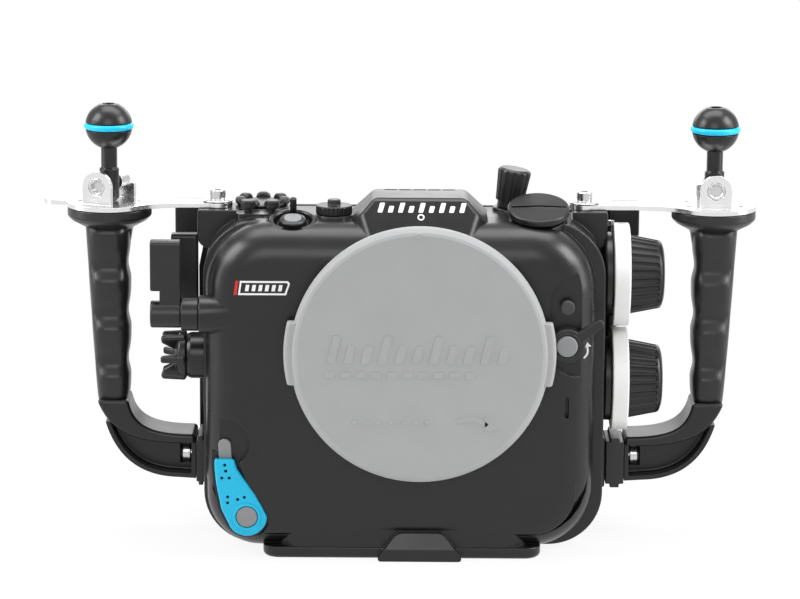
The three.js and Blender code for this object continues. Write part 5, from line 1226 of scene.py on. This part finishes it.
# %% Arms, pads and bolts
ARM_TOP, ARM_FOOT, ARM_HIGH = 57.5, 32.7, 76.5


def bend_line():
    line = [(0, ARM_TOP - 5.2)]
    line += curve((0, ARM_TOP - 5.2), (30, ARM_TOP - 5.6), (46, ARM_TOP - 2), (53.6, ARM_HIGH), steps=20)
    inner = curve((36.4, ARM_HIGH), (34, ARM_TOP + 4), (24, ARM_TOP), (0, ARM_TOP), steps=20)
    return line + [(36.4, ARM_HIGH)] + inner


def rim_line(inset):
    low = ARM_FOOT + inset
    line = [(2.4 if inset else 0, low), (10, low + 0.6)]
    line += curve((10, low + 0.6), (26, low + 1), (42 - inset, low + 7.5), (49 - inset, 64), steps=20)
    return line + [(44, 64.5), (34, 58), (18, 54.6), (2.4 if inset else 0, 54.2)]


def handle_arm(side, root, out):
    def placed(line):
        return [(root + out * a, b) for a, b in line]

    arm = round_edges(plate(f"{side}_handle_arm_fine", placed(bend_line()), -14, 14), 3, 5, 50)
    rim = plate("rim", placed(rim_line(0)), -12, 13)
    pocket = round_edges(plate("pocket", placed(rim_line(2.4)), -18, -3), 1, 3, 50)
    bolt_room = bar("bolt_room", (root, 0, 44.5), (out, 0, 0), 3, -4, 7, 0.05, 32)
    bolt_place = bar("bolt_place", (root, -4.5, 44.5), (out, 0, 0), 5.6, 2.4, 9, 0.4, 32)
    weld(arm, round_edges(cut(rim, pocket), 0.6, 3, 50))
    cut(arm, bolt_room, bolt_place)
    dress(arm, cast_black, "housing", f"{side}_handle_arm")


handle_arm("left", -117, -1)
handle_arm("right", 116.5, 1)
for side in ("left", "right"):
    refined(f"{side}_arm_pad", grip_rubber, "housing", 0.6, 3)
    refined(f"{side}_arm_bolt", screw_steel, "housing", 0.3, 2)

# %% [markdown]
# ## The door and the inside
# The back of the housing is hidden in the photo. Its door, window, seal and dial, and the tray, board
# and battery case inside, keep the frame's shapes, with their corners rounded and a finish. The
# buttons and the thumb levers are made anew.

# %% Door, seal, hinge and rear controls
refined("rear_shell", cast_black, "door", 0.5, 3, 50)
refined("monitor_window", window_clear, "door", 0.3)
refined("main_seal", seal_rubber, "housing", 0.2)
refined("hinge_pin", screw_steel, "housing", 0.2)
refined("rear_dial", moulded_black, "rear_wheel", 0.3)
for body, node, height in (("low", "lower", 95.5), ("mid", "middle", 112.5), ("high", "upper", 129.5)):
    button = turned(f"rear_button_{node}_fine", [
        (0, -12), (2, -12), (2, 2.3), (5, 2.3, 0.3), (5, 6.8, 0.9), (0, 6.9),
    ], (-76, 58.5, height), BACKWARD, 56, 4)
    dress(button, moulded_black, f"rear_button_{body}", f"rear_button_{node}")


def thumb_lever(side, hub_x, near_x, far_x):
    out = -1 if side == "left" else 1
    arm = plate(f"{side}_thumb_lever_fine", [
        (hub_x - out * 6, 150.8, 3), (far_x, 157, 2), (far_x, 172.8, 2), (near_x, 172.8),
        (hub_x - out * 6, 162.4, 3),
    ], 58.9, 63.7)
    paddle_line = [(46, 157, 2), (46, 177.4, 1.5), (63.7, 173.2, 2), (63.7, 157, 2)]
    paddle = plate("paddle", paddle_line, near_x, far_x, "side")
    weld(round_edges(arm, 0.6, 2), round_edges(paddle, 1, 3))
    shaft = bar("thumb_shaft", (hub_x, 0, 156.5), BACKWARD, 3, 45, 61, 0.3, 24)
    dress(gather(arm.name, [arm, shaft]), moulded_black, f"{side}_thumb", f"{side}_thumb_lever")


thumb_lever("left", -104, -114, -131)
thumb_lever("right", 92, 110.5, 126)
refined("camera_tray", tray_metal, "housing", 0.4)
refined("moisture_board", board_green, "housing", 0.1)
refined("battery_case", moulded_black, "housing", 0.6)

# %% [markdown]
# ## Printed marks
# The printing is generic: a row of slanted bars on the hump, a white index ring, a small badge of
# bars with a red edge on the front and a turn arrow beside the lock. Each mark is a very thin plate
# that lies on its surface.

# %% Marks
INK = 0.12
BROW = (0, -38, HUMP_TOP)


def on_front(name, corners, depth=BODY_FRONT, steps=3):
    return plate(name, corners, depth - INK, depth + 0.4, steps=steps)


slope_turn = about(BROW, SIDEWAYS, -math.degrees(math.atan2(0.60, 0.80)))
marks = []
for step in range(9):
    x = -18.5 + 5.4 * step
    tall = 5.8 if step % 2 == 0 else 3.9
    low = HUMP_TOP - 8.6
    corners = [(x, low, 0.5), (x + 2.6, low, 0.5), (x + 2.6 + tall * 0.25, low + tall, 0.5),
               (x + tall * 0.25, low + tall, 0.5)]
    marks.append(move(on_front("hump_bar", corners, BROW[1]), slope_turn))
ring_mark = turned("index_ring", [(1.1, 0), (1.9, 0), (1.9, INK + 0.4), (1.1, INK + 0.4), (1.1, 0)],
                   (4.6, -38 + 0.4, HUMP_TOP - 11.3), FORWARD, 40)
marks.append(move(ring_mark, slope_turn))
frame_line = [(-91.8, 144.3), (-90.7, 151.9), (-65.4, 151.9), (-64.3, 150.6), (-66.4, 144.3)]
badge = cut(on_front("badge", frame_line), plate("badge_room", [
    (-90.7, 145.3), (-89.9, 150.9), (-66, 150.9), (-65.4, 150.2), (-67.2, 145.3)], -58, -54))
marks.append(badge)
for step in range(6):
    x = -88.2 + 3.5 * step
    marks.append(on_front("badge_bar", [(x, 146.4), (x + 1.9, 146.4), (x + 2.5, 149.8), (x + 0.6, 149.8)]))
turn_line = arc((88.6, 114.4), 5.4, 25, -55, 10) + arc((88.6, 114.4), 4.5, -55, 25, 10)
marks.append(on_front("turn_arrow", turn_line, -52))
marks.append(on_front("turn_head", [(92.1, 116.2), (95.3, 116.8), (93.2, 119)], -52))
white_marks = gather("printed_marks", marks)
dress(white_marks, print_white, "housing", slot="ring_white")
red = on_front("badge_edge", [(-94.2, 144.3), (-92.6, 144.3), (-91.5, 151.9), (-93.1, 151.9)])
dress(red, print_red, "housing", slot="latch_blue")

# %% [markdown]
# ## Sizes and the finish line
# The imported model's box and the visual model's box are both printed, side by side.

# %% Print the two boxes
visual_box = [list(corner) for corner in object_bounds()]
for packed, visual in zip(packed_box, visual_box):
    print("packed", [round(v / MM, 1) for v in packed], "visual", [round(v / MM, 1) for v in visual])
